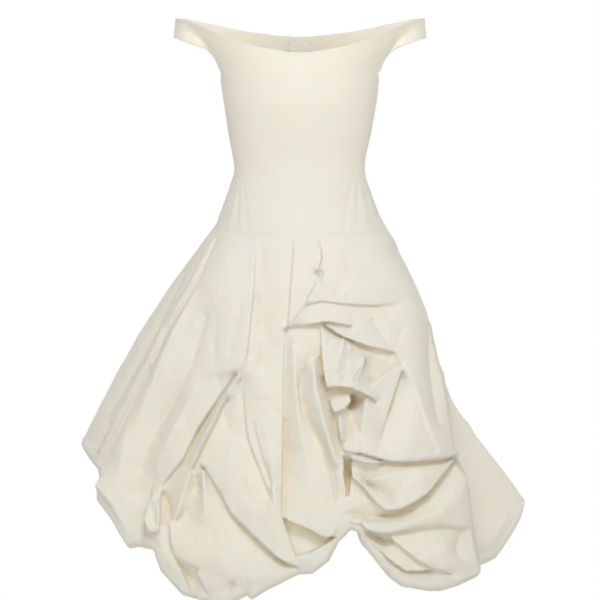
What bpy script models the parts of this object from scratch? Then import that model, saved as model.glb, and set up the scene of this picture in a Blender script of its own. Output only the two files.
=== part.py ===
"""Off-shoulder dress with a bubble-hem skirt: hollow rigid shell, worn form, in metres."""

import math

import bpy
import numpy as np

# Sizes
MM = 0.001
WALL = 0.0018
SEAM_GAP = 0.0004
UNDERARM_Z = 0.196
ARMHOLE_DIP = 0.014
STRAP_HALF_SPAN = 0.250
STRAP_FRONT_DEPTH = 0.112
STRAP_BACK_DEPTH = 0.100
HEM_ROLL = 0.013
HEM_RETURN = 0.020
TAIL_INSET = 0.058
FRONT_BULGE = 0.030
LABEL_WIDTH = 0.046
LABEL_TOP_Z = 0.260
LABEL_HEIGHT = 0.022
LABEL_THICK = 0.0010
ZIP_BOTTOM_Z = -0.096
ZIP_TAPE_WIDTH = 0.022
ZIP_TAPE_THICK = 0.0010
ZIP_CLEAR = 0.0020
SLIDER_Z = 0.250
SLIDER_FACE_Y = 0.1030
TAB_LENGTH = 0.020
TAB_THICK = 0.0010

# Princess seams, front and back alike: height (mm), degrees round from the centre line
PRINCESS_SEAM = (
    (-140, 28.5),
    (-94, 32.5),
    (-68, 37.0),
    (-44, 43.5),
    (-4, 52.0),
    (40, 56.0),
    (110, 59.0),
    (160, 63.0),
    (196, 78.0),
)
PRINCESS_TOP_DEG = 78.0

# Bodice sections: height, half widths to the wearer's right and left, front and back depths (mm)
BODY_SECTIONS = (
    (-140, 184, 186, 124, 134),
    (-108, 168, 170, 119, 127),
    (-92, 163, 161, 113, 120),
    (-56, 149, 147, 101, 104),
    (-14, 135, 132, 93, 92),
    (-5, 133, 130.6, 91.8, 90.8),
    (4, 132, 130, 91, 90),
    (15, 132.8, 130.6, 92, 90.8),
    (28, 135, 132, 94, 92),
    (80, 145, 144, 110, 98),
    (130, 152, 153, 122, 103),
    (196, 162, 160, 117, 104),
)

# Neckline: share of the way from centre to strap end, front height, back height (mm)
NECKLINE = (
    (0.00, 234, 270),
    (0.09, 235, 271),
    (0.20, 240, 273),
    (0.32, 245, 277),
    (0.42, 251, 280),
    (0.58, 264, 287),
    (0.70, 278, 294),
    (0.80, 289, 298),
    (0.90, 298, 304),
    (1.00, 305, 305),
)

# Strap lower edge and armhole: share of the way from princess seam to strap end, half span, height (mm)
STRAP_EDGE = (
    (0.00, 159, 196),
    (0.16, 166, 212),
    (0.34, 176, 232),
    (0.50, 189, 244),
    (0.75, 216, 254),
    (1.00, 254, 266),
)

# How far the armhole and strap edge stand off the side: share of the way to the strap end, depth (mm)
EDGE_DEPTHS = (
    (0.00, 0),
    (0.08, 22.8),
    (0.16, 23.2),
    (0.25, 25.4),
    (0.34, 29),
    (0.42, 33.2),
    (0.50, 37.5),
    (0.60, 42),
    (0.70, 44),
    (0.80, 41),
    (0.88, 32.5),
    (0.94, 21),
    (0.98, 10),
    (1.00, 0),
)

# Front skirt ribs: degrees at the hip seam, then where the rib reaches the hem: across, height, depth (mm)
FRONT_RIBS = (
    (-90, -442, -553, 0),
    (-84, -428, -576, -30),
    (-78, -407, -600, -60),
    (-73, -392, -648, -85),
    (-69, -401, -667, -95),
    (-64, -378, -698, -115),
    (-59, -346, -753, -140),
    (-55, -330, -749, -150),
    (-47, -296, -756, -172),
    (-43, -280, -798, -182),
    (-38, -238, -845, -200),
    (-30, -180, -862, -220),
    (-24, -148, -866, -230),
    (-19, -108, -846, -236),
    (-16, -98, -854, -238),
    (-11, -70, -836, -243),
    (-3, -5, -804, -250),
    (2, 24, -802, -250),
    (7, 56, -777, -250),
    (12, 76, -740, -246),
    (20, 102, -715, -242),
    (26, 122, -720, -238),
    (31, 132, -746, -236),
    (37, 156, -775, -232),
    (42, 184, -810, -226),
    (48, 208, -828, -220),
    (56, 260, -837, -205),
    (64, 290, -836, -190),
    (72, 322, -827, -165),
    (80, 356, -812, -130),
    (90, 361, -802, -70),
)

# Back skirt ribs, from the wearer's left side round to the right: the same columns
BACK_RIBS = (
    (68, 320, -760, -156),
    (80, 352, -780, -108),
    (90, 361, -796, -70),
    (97, 430, -762, -12),
    (103, 450, -712, 28),
    (110, 460, -670, 50),
    (122, 438, -652, 120),
    (140, 330, -640, 205),
    (160, 190, -632, 248),
    (180, 20, -626, 262),
    (200, -150, -622, 258),
    (222, -300, -606, 214),
    (246, -400, -580, 120),
    (270, -442, -553, 0),
)

# How far each silhouette stands outside its straight rib: share of the way down, offset (mm)
RIGHT_SIDE_BOW = ((0.0, 0), (0.25, 14), (0.5, 20), (0.75, 13), (1.0, 0))
DRAPE_BOW = (
    (0.0, 0), (0.14, 21), (0.29, 37), (0.43, 30), (0.52, 26), (0.65, 13), (0.74, 23), (0.85, 10), (1.0, 0)
)
TAIL_BOW = (
    (0.0, 0), (0.35, -14), (0.5, -46), (0.64, -66), (0.71, -56), (0.78, -38), (0.86, -22), (1.0, -4)
)

# Front folds: from across, height, to across, height, bow, half width, lift (mm), steepness of the fall
FRONT_FOLDS = (
    (-166, -118, -236, -276, -6, 20, -10, 0.0),
    (-300, -400, -404, -590, -8, 26, 12, 0.5),
    (-88, -130, -108, -376, 6, 34, 8, 0.0),
    (-124, -408, -276, -628, -10, 32, -24, 0.0),
    (-148, -474, -216, -594, -8, 26, 13, 0.0),
    (-282, -634, -296, -728, 0, 26, 18, 0.0),
    (-234, -420, -316, -600, 10, 46, -13, 0.0),
    (-110, -386, -60, -650, -14, 30, 16, 0.0),
    (-190, -594, -14, -806, 22, 28, -22, 0.0),
    (-34, -494, -34, -690, 0, 20, -11, 0.0),
    (-28, -694, 68, -742, 4, 34, 17, 0.7),
    (8, -492, 66, -600, -4, 26, 10, 0.0),
    (-256, -742, -226, -850, 4, 24, -14, 0.0),
    (-168, -800, -120, -846, 0, 34, 14, 0.0),
    (-10, -150, -22, -306, -4, 24, 8, 0.0),
    (40, -150, 12, -276, 10, 20, -12, 0.0),
    (-30, -322, -34, -480, 0, 20, -9, 0.0),
    (38, -264, 184, -276, 4, 34, 14, 0.7),
    (-30, -316, 110, -312, 26, 34, 16, 0.7),
    (46, -316, 188, -370, 10, 32, 18, 0.7),
    (150, -300, 262, -556, 24, 36, 18, 0.3),
    (202, -404, 158, -540, 4, 30, -15, 0.0),
    (62, -330, 58, -436, 4, 44, 20, 0.0),
    (92, -440, 106, -476, 0, 26, -26, 0.0),
    (86, -562, 306, -574, -12, 40, 22, 0.7),
    (280, -600, 100, -692, 24, 34, -22, 0.0),
    (108, -716, 328, -712, -8, 40, 18, 0.7),
    (134, -750, 262, -802, 8, 30, 14, 0.3),
    (90, -570, 90, -640, 0, 20, -20, 0.0),
)

# Back folds, in the same columns
BACK_FOLDS = (
    (60, -180, 120, -560, 14, 44, 14, 0.0),
    (-70, -180, -150, -540, -14, 44, -14, 0.0),
    (130, -260, 290, -560, 16, 46, -14, 0.0),
    (-150, -240, -300, -500, -16, 46, 14, 0.0),
    (0, -300, 10, -560, 0, 40, -10, 0.0),
)

# Skirt panels: name, ribs, folds, from degrees, to degrees, columns of points
SKIRT_PANELS = (
    ("skirt_front_right", FRONT_RIBS, FRONT_FOLDS, -90.0, -30.0, 17),
    ("skirt_front_centre", FRONT_RIBS, FRONT_FOLDS, -30.0, 13.0, 14),
    ("skirt_drape_left", FRONT_RIBS, FRONT_FOLDS, 13.0, 90.0, 21),
    ("skirt_back_left", BACK_RIBS, BACK_FOLDS, 135.0, 180.0, 8),
    ("skirt_back_right", BACK_RIBS, BACK_FOLDS, 180.0, 270.0, 14),
)
TAIL_LOW_DEG = 76.0
TAIL_HIGH_DEG = 135.0
TAIL_COLUMNS = 12

# Colours, linear
CLOTH = (0.800, 0.760, 0.655, 1.0)
TAPE = (0.780, 0.745, 0.650, 1.0)
METAL = (0.720, 0.700, 0.640, 1.0)


def clear_scene() -> None:
    """Removes what the scene starts with."""
    for obj in list(bpy.data.objects):
        bpy.data.objects.remove(obj, do_unlink=True)


def material(name: str, colour: tuple, roughness: float, metallic: float = 0.0) -> bpy.types.Material:
    """A plain Principled material."""
    made = bpy.data.materials.new(name)
    made.use_nodes = True
    shader = made.node_tree.nodes["Principled BSDF"]
    shader.inputs["Base Color"].default_value = colour
    shader.inputs["Roughness"].default_value = roughness
    shader.inputs["Metallic"].default_value = metallic
    made.diffuse_color = colour
    return made


def smooth(value: np.ndarray, low: float, high: float) -> np.ndarray:
    """Rises from 0 to 1 between low and high."""
    share = np.clip((value - low) / (high - low), 0.0, 1.0)
    return share * share * (3.0 - 2.0 * share)


def column(table: tuple, key: np.ndarray, index: int) -> np.ndarray:
    """Reads one column of a table of millimetres at the key, in metres."""
    rows = np.array(table, dtype=float)
    return np.interp(key, rows[:, 0], rows[:, index]) * MM


def body(deg: np.ndarray, z: np.ndarray) -> np.ndarray:
    """A point of the bodice at this angle and height."""
    angle = np.radians(deg)
    across, front = np.sin(angle), np.cos(angle)
    z_mm = z / MM
    half = np.where(across < 0.0, column(BODY_SECTIONS, z_mm, 1), column(BODY_SECTIONS, z_mm, 2))
    depth = np.where(front > 0.0, column(BODY_SECTIONS, z_mm, 3), column(BODY_SECTIONS, z_mm, 4))
    return np.stack([half * across, -depth * front, z + 0.0 * half], axis=-1)


def hip_z(deg: np.ndarray) -> np.ndarray:
    """Height of the hip seam, lower at the centre front."""
    return -0.106 - 0.024 * np.clip(np.cos(np.radians(deg)), 0.0, 1.0) ** 0.6


def yoke(side: float, half: np.ndarray, up: np.ndarray, front: bool) -> np.ndarray:
    """A point above underarm height: half runs from the centre to the strap end, up from edge to neckline."""
    seam = 0.5
    inner = np.clip(half / seam, 0.0, 1.0)
    outer = np.clip((half - seam) / (1.0 - seam), 0.0, 1.0)
    degrees = inner * PRINCESS_TOP_DEG
    if not front:
        degrees = 180.0 - degrees
    low = body(degrees * side, np.full_like(half, UNDERARM_Z))
    depth = STRAP_FRONT_DEPTH if front else STRAP_BACK_DEPTH
    sign = -1.0 if front else 1.0
    seam_top = PRINCESS_TOP_DEG if front else 180.0 - PRINCESS_TOP_DEG
    seam_y = body(np.array([seam_top]), np.array([UNDERARM_Z]))[0, 1]
    edge_x = column(STRAP_EDGE, outer, 1)
    edge_y = sign * np.maximum(abs(seam_y) * (1.0 - outer), column(EDGE_DEPTHS, outer, 1))
    edge = np.stack([side * edge_x, edge_y, column(STRAP_EDGE, outer, 2)], axis=-1)
    low = np.where((half > seam)[..., None], edge, low)
    turn = half * math.pi / 2.0
    neck_z = column(NECKLINE, np.sin(turn), 1 if front else 2)
    neck = np.stack([side * STRAP_HALF_SPAN * np.sin(turn), sign * depth * np.cos(turn), neck_z], axis=-1)
    up = up[..., None]
    return low * (1.0 - up) + neck * up


def ribs_at(table: tuple, deg: np.ndarray, share: np.ndarray) -> np.ndarray:
    """A point of the plain skirt: share runs from the hip seam to the hem."""
    top = body(deg, hip_z(deg))
    low = np.stack([column(table, deg, 1), column(table, deg, 2), column(table, deg, 3)], axis=-1)
    low = low[..., [0, 2, 1]]
    way = share[..., None]
    point = top * (1.0 - way) + low * way
    side = np.sin(np.radians(deg))
    round_out = np.sin(math.pi * np.clip(share, 0.0, 1.0) ** 0.8)
    facing = -np.sign(np.cos(np.radians(deg))) * np.abs(np.cos(np.radians(deg))) ** 0.7
    point[..., 1] += facing * FRONT_BULGE * round_out
    right = column(RIGHT_SIDE_BOW, share, 1)
    tail = smooth(deg, 90.0, 106.0)
    left = column(DRAPE_BOW, share, 1) * (1.0 - tail) + column(TAIL_BOW, share, 1) * tail
    point[..., 0] += np.where(side < 0.0, -right, left) * np.abs(side) ** 3
    return point


def fold_lift(table: tuple, x: np.ndarray, z: np.ndarray) -> np.ndarray:
    """Sum of the hand-placed folds at this place in the front or back view."""
    total = np.zeros_like(x)
    for x0, z0, x1, z1, bow, half_width, lift, steep in table:
        start = np.array([x0, z0]) * MM
        along = np.array([x1, z1]) * MM - start
        length = float(np.hypot(*along))
        along = along / length
        across = np.array([-along[1], along[0]])
        way = ((x - start[0]) * along[0] + (z - start[1]) * along[1]) / length
        off = (x - start[0]) * across[0] + (z - start[1]) * across[1]
        off = off - bow * MM * np.sin(math.pi * np.clip(way, 0.0, 1.0))
        width = half_width * MM
        width = np.where(off < 0.0, width * (1.0 - 0.55 * steep), width * (1.0 + 0.5 * steep))
        ends = smooth(way, -0.14, 0.16) * (1.0 - smooth(way, 0.84, 1.14))
        total += lift * MM * ends * np.exp(-(off / width) ** 2)
    return total


def skirt(table: tuple, folds: tuple, deg: np.ndarray, run: np.ndarray,
          inset: float | np.ndarray = 0.0) -> tuple:
    """Points and outward directions: run goes 0 to 1 down the ribs, then 1 to 2 round the hem roll."""
    share = np.clip(run, 0.0, 1.0)
    step = 0.004
    point = ribs_at(table, deg, share)
    down = ribs_at(table, deg, share + step) - ribs_at(table, deg, share - step)
    round_way = ribs_at(table, deg + 4.0, share) - ribs_at(table, deg - 4.0, share)
    normal = np.cross(down, round_way)
    normal /= np.linalg.norm(normal, axis=-1, keepdims=True)
    down /= np.linalg.norm(down, axis=-1, keepdims=True)
    level = normal * np.array([1.0, 1.0, 0.0])
    level /= np.linalg.norm(level, axis=-1, keepdims=True)
    normal[..., 1] *= smooth(np.abs(np.cos(np.radians(deg))), 0.0, 0.2)
    level[..., 1] *= smooth(np.abs(np.cos(np.radians(deg))), 0.0, 0.2)
    early = (1.0 - smooth(run, 0.0, 0.12))[..., None]
    normal = normal * (1.0 - early) + level * early
    normal /= np.linalg.norm(normal, axis=-1, keepdims=True)
    fade = smooth(run, 0.0, 0.06) * (1.0 - 0.75 * smooth(run, 0.93, 1.0)) * (1.0 - smooth(run, 1.0, 1.4))
    lift = fold_lift(folds, point[..., 0], point[..., 2]) * fade
    turn = np.clip((run - 1.0) / 0.6, 0.0, 1.0) * math.pi
    back = np.clip((run - 1.6) / 0.4, 0.0, 1.0)
    roll_start = smooth(run, 0.9, 1.0) * HEM_ROLL
    point = point - down * roll_start[..., None]
    point = point - normal * (HEM_ROLL * (1.0 - np.cos(turn)))[..., None]
    point = point + down * (HEM_ROLL * np.sin(turn) - HEM_RETURN * back)[..., None]
    outward = normal * np.cos(turn)[..., None] + down * np.sin(turn)[..., None]
    point = point + normal * (lift - inset)[..., None]
    return point, outward


def shell(name: str, points: np.ndarray, outward: np.ndarray, quads: list, look: bpy.types.Material,
          wall: float = WALL) -> bpy.types.Object:
    """A closed wall on the inner side of a sheet of quads, whose two faces are split alike."""
    used = sorted({corner for quad in quads for corner in quad})
    place = {corner: i for i, corner in enumerate(used)}
    outer = points[used]
    inner = outer - outward[used] * wall
    count = len(used)
    sheet = []
    for quad in quads:
        a, b, c, d = (place[corner] for corner in quad)
        if np.linalg.norm(outer[a] - outer[c]) <= np.linalg.norm(outer[b] - outer[d]):
            sheet += [(a, b, c), (a, c, d)]
        else:
            sheet += [(a, b, d), (b, c, d)]
    edges = {}
    for face in sheet:
        for i in range(3):
            edges[(face[i], face[(i + 1) % 3])] = True
    rim = [edge for edge in edges if (edge[1], edge[0]) not in edges]
    faces = list(sheet)
    faces += [tuple(corner + count for corner in reversed(face)) for face in sheet]
    faces += [(b, a, a + count, b + count) for a, b in rim]
    mesh = bpy.data.meshes.new(name)
    mesh.from_pydata(np.vstack([outer, inner]).tolist(), [], faces)
    mesh.materials.append(look)
    obj = bpy.data.objects.new(name, mesh)
    bpy.context.scene.collection.objects.link(obj)
    return obj


def grid_quads(rows: int, columns: int, first: int = 0) -> list:
    """Quads of a grid whose rows run down and columns run to the wearer's left, facing out."""
    quads = []
    for row in range(rows - 1):
        for col in range(columns - 1):
            corner = first + row * columns + col
            quads.append((corner, corner + columns, corner + columns + 1, corner + 1))
    return quads


def body_normal(deg: np.ndarray, z: np.ndarray) -> np.ndarray:
    """Level outward direction of the bodice."""
    tangent = body(deg + 1.0, z) - body(deg - 1.0, z)
    normal = np.stack([-tangent[..., 1], tangent[..., 0], 0.0 * z], axis=-1)
    normal = -normal
    flip = np.sign(np.sum(normal[..., :2] * body(deg, z)[..., :2], axis=-1, keepdims=True))
    normal = normal * flip
    return normal / np.linalg.norm(normal, axis=-1, keepdims=True)


def seam_deg(z: float) -> float:
    """Angle of a princess seam at this height: it curves in from the armhole to the hip."""
    rows = np.array(PRINCESS_SEAM, dtype=float)
    return float(np.interp(z / MM, rows[:, 0], rows[:, 1]))


def bodice_middle(side: float, front: bool, start: float, columns: int) -> tuple:
    """Grid of half a centre panel from hip to neckline, with its strap, and its outward directions."""
    rows, yoke_rows, strap_columns = 10, 5, 8
    gap = SEAM_GAP / 2.0
    top = PRINCESS_TOP_DEG
    points, outward = [], []
    half_share = np.linspace(0.0, 1.0, columns)
    centre_half = start / top * 0.5
    half = np.concatenate([
        centre_half + (0.5 - centre_half) * half_share,
        np.linspace(0.5, 1.0, strap_columns + 1)[1:],
    ])
    half[-1] -= gap / 0.25
    for row in range(yoke_rows):
        up = np.full_like(half, 1.0 - row / (yoke_rows - 1))
        line = yoke(side, half, up, front)
        tangent = yoke(side, np.minimum(half + 0.01, 1.02), up, front) - yoke(side, half - 0.01, up, front)
        rise = yoke(side, half, up * 0.0 + 1.0, front) - yoke(side, half, up * 0.0, front)
        normal = np.cross(tangent, rise) * side * (1.0 if front else -1.0)
        normal /= np.linalg.norm(normal, axis=-1, keepdims=True)
        normal[-1] = np.array([side, 0.0, 0.0])
        points.append(line)
        outward.append(normal)
    for row in range(1, rows + 1):
        share = row / rows
        edge_deg = seam_deg(UNDERARM_Z + (-0.120 - UNDERARM_Z) * share)
        deg = start + (edge_deg - start) * half_share
        deg = np.concatenate([deg, np.full(strap_columns, edge_deg)])
        if not front:
            deg = 180.0 - deg
        z = UNDERARM_Z + (hip_z(deg) + gap - UNDERARM_Z) * share
        points.append(body(deg * side, z))
        outward.append(body_normal(deg * side, z))
    wide = columns + strap_columns
    quads = []
    for row in range(yoke_rows + rows - 1):
        for col in range(wide - 1):
            if row >= yoke_rows - 1 and col >= columns - 1:
                continue
            corner = row * wide + col
            quads.append((corner, corner + wide, corner + wide + 1, corner + 1))
    return np.array(points), np.array(outward), quads, wide


def flipped(quads: list, flip: bool) -> list:
    """The same quads facing the other way."""
    return [tuple(reversed(quad)) for quad in quads] if flip else quads


def build_bodice_front(look: bpy.types.Material) -> None:
    """Centre front panel with both strap fronts."""
    points, outward, quads = [], [], []
    first = 0
    place = {}
    sheets = []
    for side in (-1.0, 1.0):
        grid, normals, faces, wide = bodice_middle(side, True, 0.0, 6)
        sheets.append((grid.reshape(-1, 3), normals.reshape(-1, 3), flipped(faces, side < 0.0), wide))
    for grid, normals, faces, wide in sheets:
        count = len(grid)
        for corner in range(count):
            if first and corner % wide == 0:
                place[first + corner] = corner
            else:
                place[first + corner] = first + corner
        quads += [tuple(place[first + corner] for corner in quad) for quad in faces]
        points.append(grid)
        outward.append(normals)
        first += count
    points = np.vstack(points)
    outward = np.vstack(outward)
    centre = np.arange(0, len(sheets[0][0]), sheets[0][3])
    outward[centre] = np.array([0.0, -1.0, 0.0])
    shell("bodice_front", points, outward, quads, look)


def build_bodice_back(name: str, side: float, look: bpy.types.Material) -> None:
    """One back panel with its strap back, up to the centre back seam."""
    centre_deg = math.degrees(SEAM_GAP / 2.0 / 0.100)
    grid, normals, faces, wide = bodice_middle(side, False, centre_deg, 6)
    shell(name, grid.reshape(-1, 3), normals.reshape(-1, 3), flipped(faces, side > 0.0), look)


def build_bodice_side(name: str, side: float, front: bool, look: bpy.types.Material) -> None:
    """One side panel, from a princess seam to the side seam."""
    rows, columns = 10, 5
    gap_deg = math.degrees(SEAM_GAP / 2.0 / 0.130)
    points, outward = [], []
    for row in range(rows + 1):
        share = row / rows
        edge = seam_deg(UNDERARM_Z + (-0.120 - UNDERARM_Z) * share)
        if front:
            deg = np.linspace(edge + gap_deg * 2.0, 90.0 - gap_deg, columns)
        else:
            edge = 180.0 - edge
            deg = np.linspace(90.0 + gap_deg, edge - gap_deg * 2.0, columns)
        low = hip_z(deg) + SEAM_GAP / 2.0
        span = (edge - 90.0)
        dip = ARMHOLE_DIP * np.sqrt(np.clip(1.0 - ((deg - 90.0) / span) ** 2, 0.0, 1.0))
        top = UNDERARM_Z - dip
        z = top + (low - top) * share
        points.append(body(deg * side, z))
        outward.append(body_normal(deg * side, z))
    quads = flipped(grid_quads(rows + 1, columns), side < 0.0)
    shell(name, np.array(points).reshape(-1, 3), np.array(outward).reshape(-1, 3), quads, look)


def build_skirt(name: str, ribs: tuple, folds: tuple, low_deg: float, high_deg: float, columns: int,
                look: bpy.types.Material) -> None:
    """One skirt panel, from the hip seam round its turned-under hem."""
    gap_deg = math.degrees(SEAM_GAP / 2.0 / 0.125)
    deg = np.linspace(low_deg + gap_deg, high_deg - gap_deg, columns)
    run = np.concatenate([np.linspace(0.0, 1.0, 22), np.array([1.2, 1.4, 1.6, 2.0])])
    grid_deg, grid_run = np.meshgrid(deg, run)
    points, outward = skirt(ribs, folds, grid_deg, grid_run)
    points[0, :, 2] -= SEAM_GAP / 2.0
    shell(name, points.reshape(-1, 3), outward.reshape(-1, 3), grid_quads(len(run), columns), look)


def build_tail(name: str, low_deg: float, high_deg: float, columns: int, look: bpy.types.Material) -> None:
    """The side panel whose front edge passes under the drape below the hip."""
    gap_deg = math.degrees(SEAM_GAP / 2.0 / 0.125)
    run = np.concatenate([np.linspace(0.0, 1.0, 22), np.array([1.2, 1.4, 1.6, 2.0])])
    share = np.linspace(0.0, 1.0, columns)
    grid_share, grid_run = np.meshgrid(share, run)
    start = 90.0 - (90.0 - low_deg) * smooth(grid_run, 0.50, 0.72) + gap_deg
    grid_deg = start + (high_deg - gap_deg - start) * grid_share
    inset = TAIL_INSET * smooth(grid_run, 0.12, 0.62) * (1.0 - smooth(grid_deg, 92.0, 110.0))
    points, outward = skirt(BACK_RIBS, BACK_FOLDS, grid_deg, grid_run, inset)
    points[0, :, 2] -= SEAM_GAP / 2.0
    shell(name, points.reshape(-1, 3), outward.reshape(-1, 3), grid_quads(len(run), columns), look)


def centre_back(x: np.ndarray, z: np.ndarray) -> np.ndarray:
    """Outer face of the centre back near the middle line, from the hip to the neckline."""
    low = body(180.0 - np.degrees(np.arcsin(x / 0.15)), np.minimum(z, UNDERARM_Z))
    share = np.clip((z - UNDERARM_Z) / (NECKLINE[0][2] * MM - UNDERARM_Z), 0.0, 1.0)
    y = low[..., 1] + (STRAP_BACK_DEPTH - 0.104) * share
    return np.stack([x, y, z], axis=-1)


def build_zip_tape(look: bpy.types.Material) -> None:
    """The closed tape of the concealed zip, inside the centre back seam."""
    across = np.linspace(-ZIP_TAPE_WIDTH / 2.0, ZIP_TAPE_WIDTH / 2.0, 3)
    down = np.linspace(0.262, ZIP_BOTTOM_Z, 13)
    grid_x, grid_z = np.meshgrid(across, down)
    points = centre_back(grid_x, grid_z)
    outward = np.zeros_like(points)
    outward[..., 1] = 1.0
    points -= outward * (WALL + ZIP_CLEAR)
    quads = flipped(grid_quads(len(down), 3), True)
    shell("zip_tape", points.reshape(-1, 3), outward.reshape(-1, 3), quads, look, ZIP_TAPE_THICK)


def build_blocks(name: str, xs: tuple, ys: tuple, zs: tuple, filled: set, look: bpy.types.Material) -> None:
    """A small hard piece made of the filled cells of a grid of planes, in metres."""
    corners = {}
    faces = []
    sides = (
        ((-1, 0, 0), ((0, 0, 0), (0, 0, 1), (0, 1, 1), (0, 1, 0))),
        ((1, 0, 0), ((1, 0, 0), (1, 1, 0), (1, 1, 1), (1, 0, 1))),
        ((0, -1, 0), ((0, 0, 0), (1, 0, 0), (1, 0, 1), (0, 0, 1))),
        ((0, 1, 0), ((0, 1, 0), (0, 1, 1), (1, 1, 1), (1, 1, 0))),
        ((0, 0, -1), ((0, 0, 0), (0, 1, 0), (1, 1, 0), (1, 0, 0))),
        ((0, 0, 1), ((0, 0, 1), (1, 0, 1), (1, 1, 1), (0, 1, 1))),
    )
    for cell in sorted(filled):
        for step, ring in sides:
            if tuple(c + s for c, s in zip(cell, step)) in filled:
                continue
            face = []
            for corner in ring:
                key = tuple(c + k for c, k in zip(cell, corner))
                face.append(corners.setdefault(key, len(corners)))
            faces.append(tuple(face))
    places = [(xs[i], ys[j], zs[k]) for i, j, k in corners]
    mesh = bpy.data.meshes.new(name)
    mesh.from_pydata(places, [], faces)
    mesh.materials.append(look)
    obj = bpy.data.objects.new(name, mesh)
    bpy.context.scene.collection.objects.link(obj)


def build_slider(look: bpy.types.Material) -> None:
    """The zip slider: a plate with a bridge that the tab's bar passes under."""
    xs = (-0.0030, -0.0010, 0.0010, 0.0030)
    y = SLIDER_FACE_Y
    ys = (y - 0.0014, y, y + 0.0020, y + 0.0029)
    z = SLIDER_Z
    zs = (z - 0.0052, z - 0.0021, z - 0.0010, z + 0.0010, z + 0.0021, z + 0.0046)
    plate = {(i, 0, k) for i in range(3) for k in range(5)}
    bridge = {(1, 1, 1), (1, 2, 1), (1, 2, 2), (1, 2, 3), (1, 1, 3)}
    build_blocks("zip_slider", xs, ys, zs, plate | bridge, look)


def build_tab(look: bpy.types.Material) -> None:
    """The pull tab: its top bar lies under the slider's bridge and it hangs down the seam."""
    xs = (-0.0026, -0.0015, 0.0015, 0.0026)
    centre = SLIDER_FACE_Y + 0.0010
    ys = (centre - TAB_THICK / 2.0, centre + TAB_THICK / 2.0)
    z = SLIDER_Z
    zs = (z - TAB_LENGTH, z - 0.0046, z - 0.0005, z + 0.0005)
    cells = {(i, 0, 0) for i in range(3)} | {(0, 0, 1), (2, 0, 1)} | {(i, 0, 2) for i in range(3)}
    build_blocks("zip_pull_tab", xs, ys, zs, cells, look)


def build_label(look: bpy.types.Material) -> None:
    """The blank label inside the centre back."""
    columns, rows = 5, 3
    x = np.linspace(-LABEL_WIDTH / 2.0, LABEL_WIDTH / 2.0, columns)
    z = np.linspace(LABEL_TOP_Z, LABEL_TOP_Z - LABEL_HEIGHT, rows)
    grid_x, grid_z = np.meshgrid(x, z)
    wall = centre_back(grid_x * 0.0, grid_z)[..., 1] - WALL - ZIP_CLEAR - ZIP_TAPE_THICK - 0.0004
    y = wall - LABEL_THICK - 2.2 * grid_x ** 2
    points = np.stack([grid_x, y, grid_z], axis=-1)
    outward = np.zeros_like(points)
    outward[..., 1] = -1.0
    quads = grid_quads(rows, columns)
    shell("label", points.reshape(-1, 3), outward.reshape(-1, 3), quads, look, LABEL_THICK)


def main() -> None:
    """Builds every piece of the dress."""
    clear_scene()
    build_bodice_front(material("cloth_bodice_front", CLOTH, 0.8))
    for tag, side in (("right", -1.0), ("left", 1.0)):
        build_bodice_back("bodice_back_" + tag, side, material("cloth_bodice_back_" + tag, CLOTH, 0.8))
        for part, front in (("front_", True), ("back_", False)):
            name = "bodice_side_" + part + tag
            build_bodice_side(name, side, front, material("cloth_" + name, CLOTH, 0.8))
    for name, ribs, folds, low_deg, high_deg, columns in SKIRT_PANELS:
        build_skirt(name, ribs, folds, low_deg, high_deg, columns, material("cloth_" + name, CLOTH, 0.8))
    tail = material("cloth_skirt_tail_left", CLOTH, 0.8)
    build_tail("skirt_tail_left", TAIL_LOW_DEG, TAIL_HIGH_DEG, TAIL_COLUMNS, tail)
    build_label(material("label_cloth", TAPE, 0.7))
    build_zip_tape(material("zip_tape_cloth", TAPE, 0.7))
    build_slider(material("zip_slider_metal", METAL, 0.35, 1.0))
    build_tab(material("zip_tab_metal", METAL, 0.35, 1.0))


main()
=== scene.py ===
"""Off-shoulder dress with a draped bubble-hem skirt: looks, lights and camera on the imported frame."""

from __future__ import annotations

import logging
import math
from dataclasses import dataclass, field
from enum import Enum

import bpy
import numpy as np
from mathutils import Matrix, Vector

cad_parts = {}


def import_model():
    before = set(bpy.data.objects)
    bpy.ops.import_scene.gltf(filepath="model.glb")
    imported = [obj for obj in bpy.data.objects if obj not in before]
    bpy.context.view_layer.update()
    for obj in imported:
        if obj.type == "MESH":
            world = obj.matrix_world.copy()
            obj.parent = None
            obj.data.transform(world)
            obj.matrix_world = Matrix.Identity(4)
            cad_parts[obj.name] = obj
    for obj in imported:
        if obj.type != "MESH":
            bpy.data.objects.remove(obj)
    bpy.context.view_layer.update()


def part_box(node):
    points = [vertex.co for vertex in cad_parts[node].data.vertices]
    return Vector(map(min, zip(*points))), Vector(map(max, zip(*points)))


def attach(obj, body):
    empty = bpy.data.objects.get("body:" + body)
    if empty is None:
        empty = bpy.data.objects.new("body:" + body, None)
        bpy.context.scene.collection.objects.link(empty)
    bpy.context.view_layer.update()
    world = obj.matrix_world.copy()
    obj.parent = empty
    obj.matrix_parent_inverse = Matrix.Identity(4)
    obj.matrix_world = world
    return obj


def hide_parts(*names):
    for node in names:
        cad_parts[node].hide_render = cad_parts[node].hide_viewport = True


LOG = logging.getLogger("dress")
MM = 0.001


class Side(Enum):
    """The wearer's sides; the value is the sign of X."""

    RIGHT = -1.0
    LEFT = 1.0


class Face(Enum):
    """Which half of the dress a piece belongs to."""

    FRONT = "front"
    BACK = "back"


def linear(text: str) -> tuple[float, float, float, float]:
    """Turns an sRGB hex colour into linear values.

    Args:
        text: Six hex digits.

    Returns:
        Linear red, green, blue and an alpha of 1.
    """
    values = [int(text[i : i + 2], 16) / 255.0 for i in (0, 2, 4)]
    red, green, blue = (v / 12.92 if v <= 0.04045 else ((v + 0.055) / 1.055) ** 2.4 for v in values)
    return (red, green, blue, 1.0)


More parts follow.
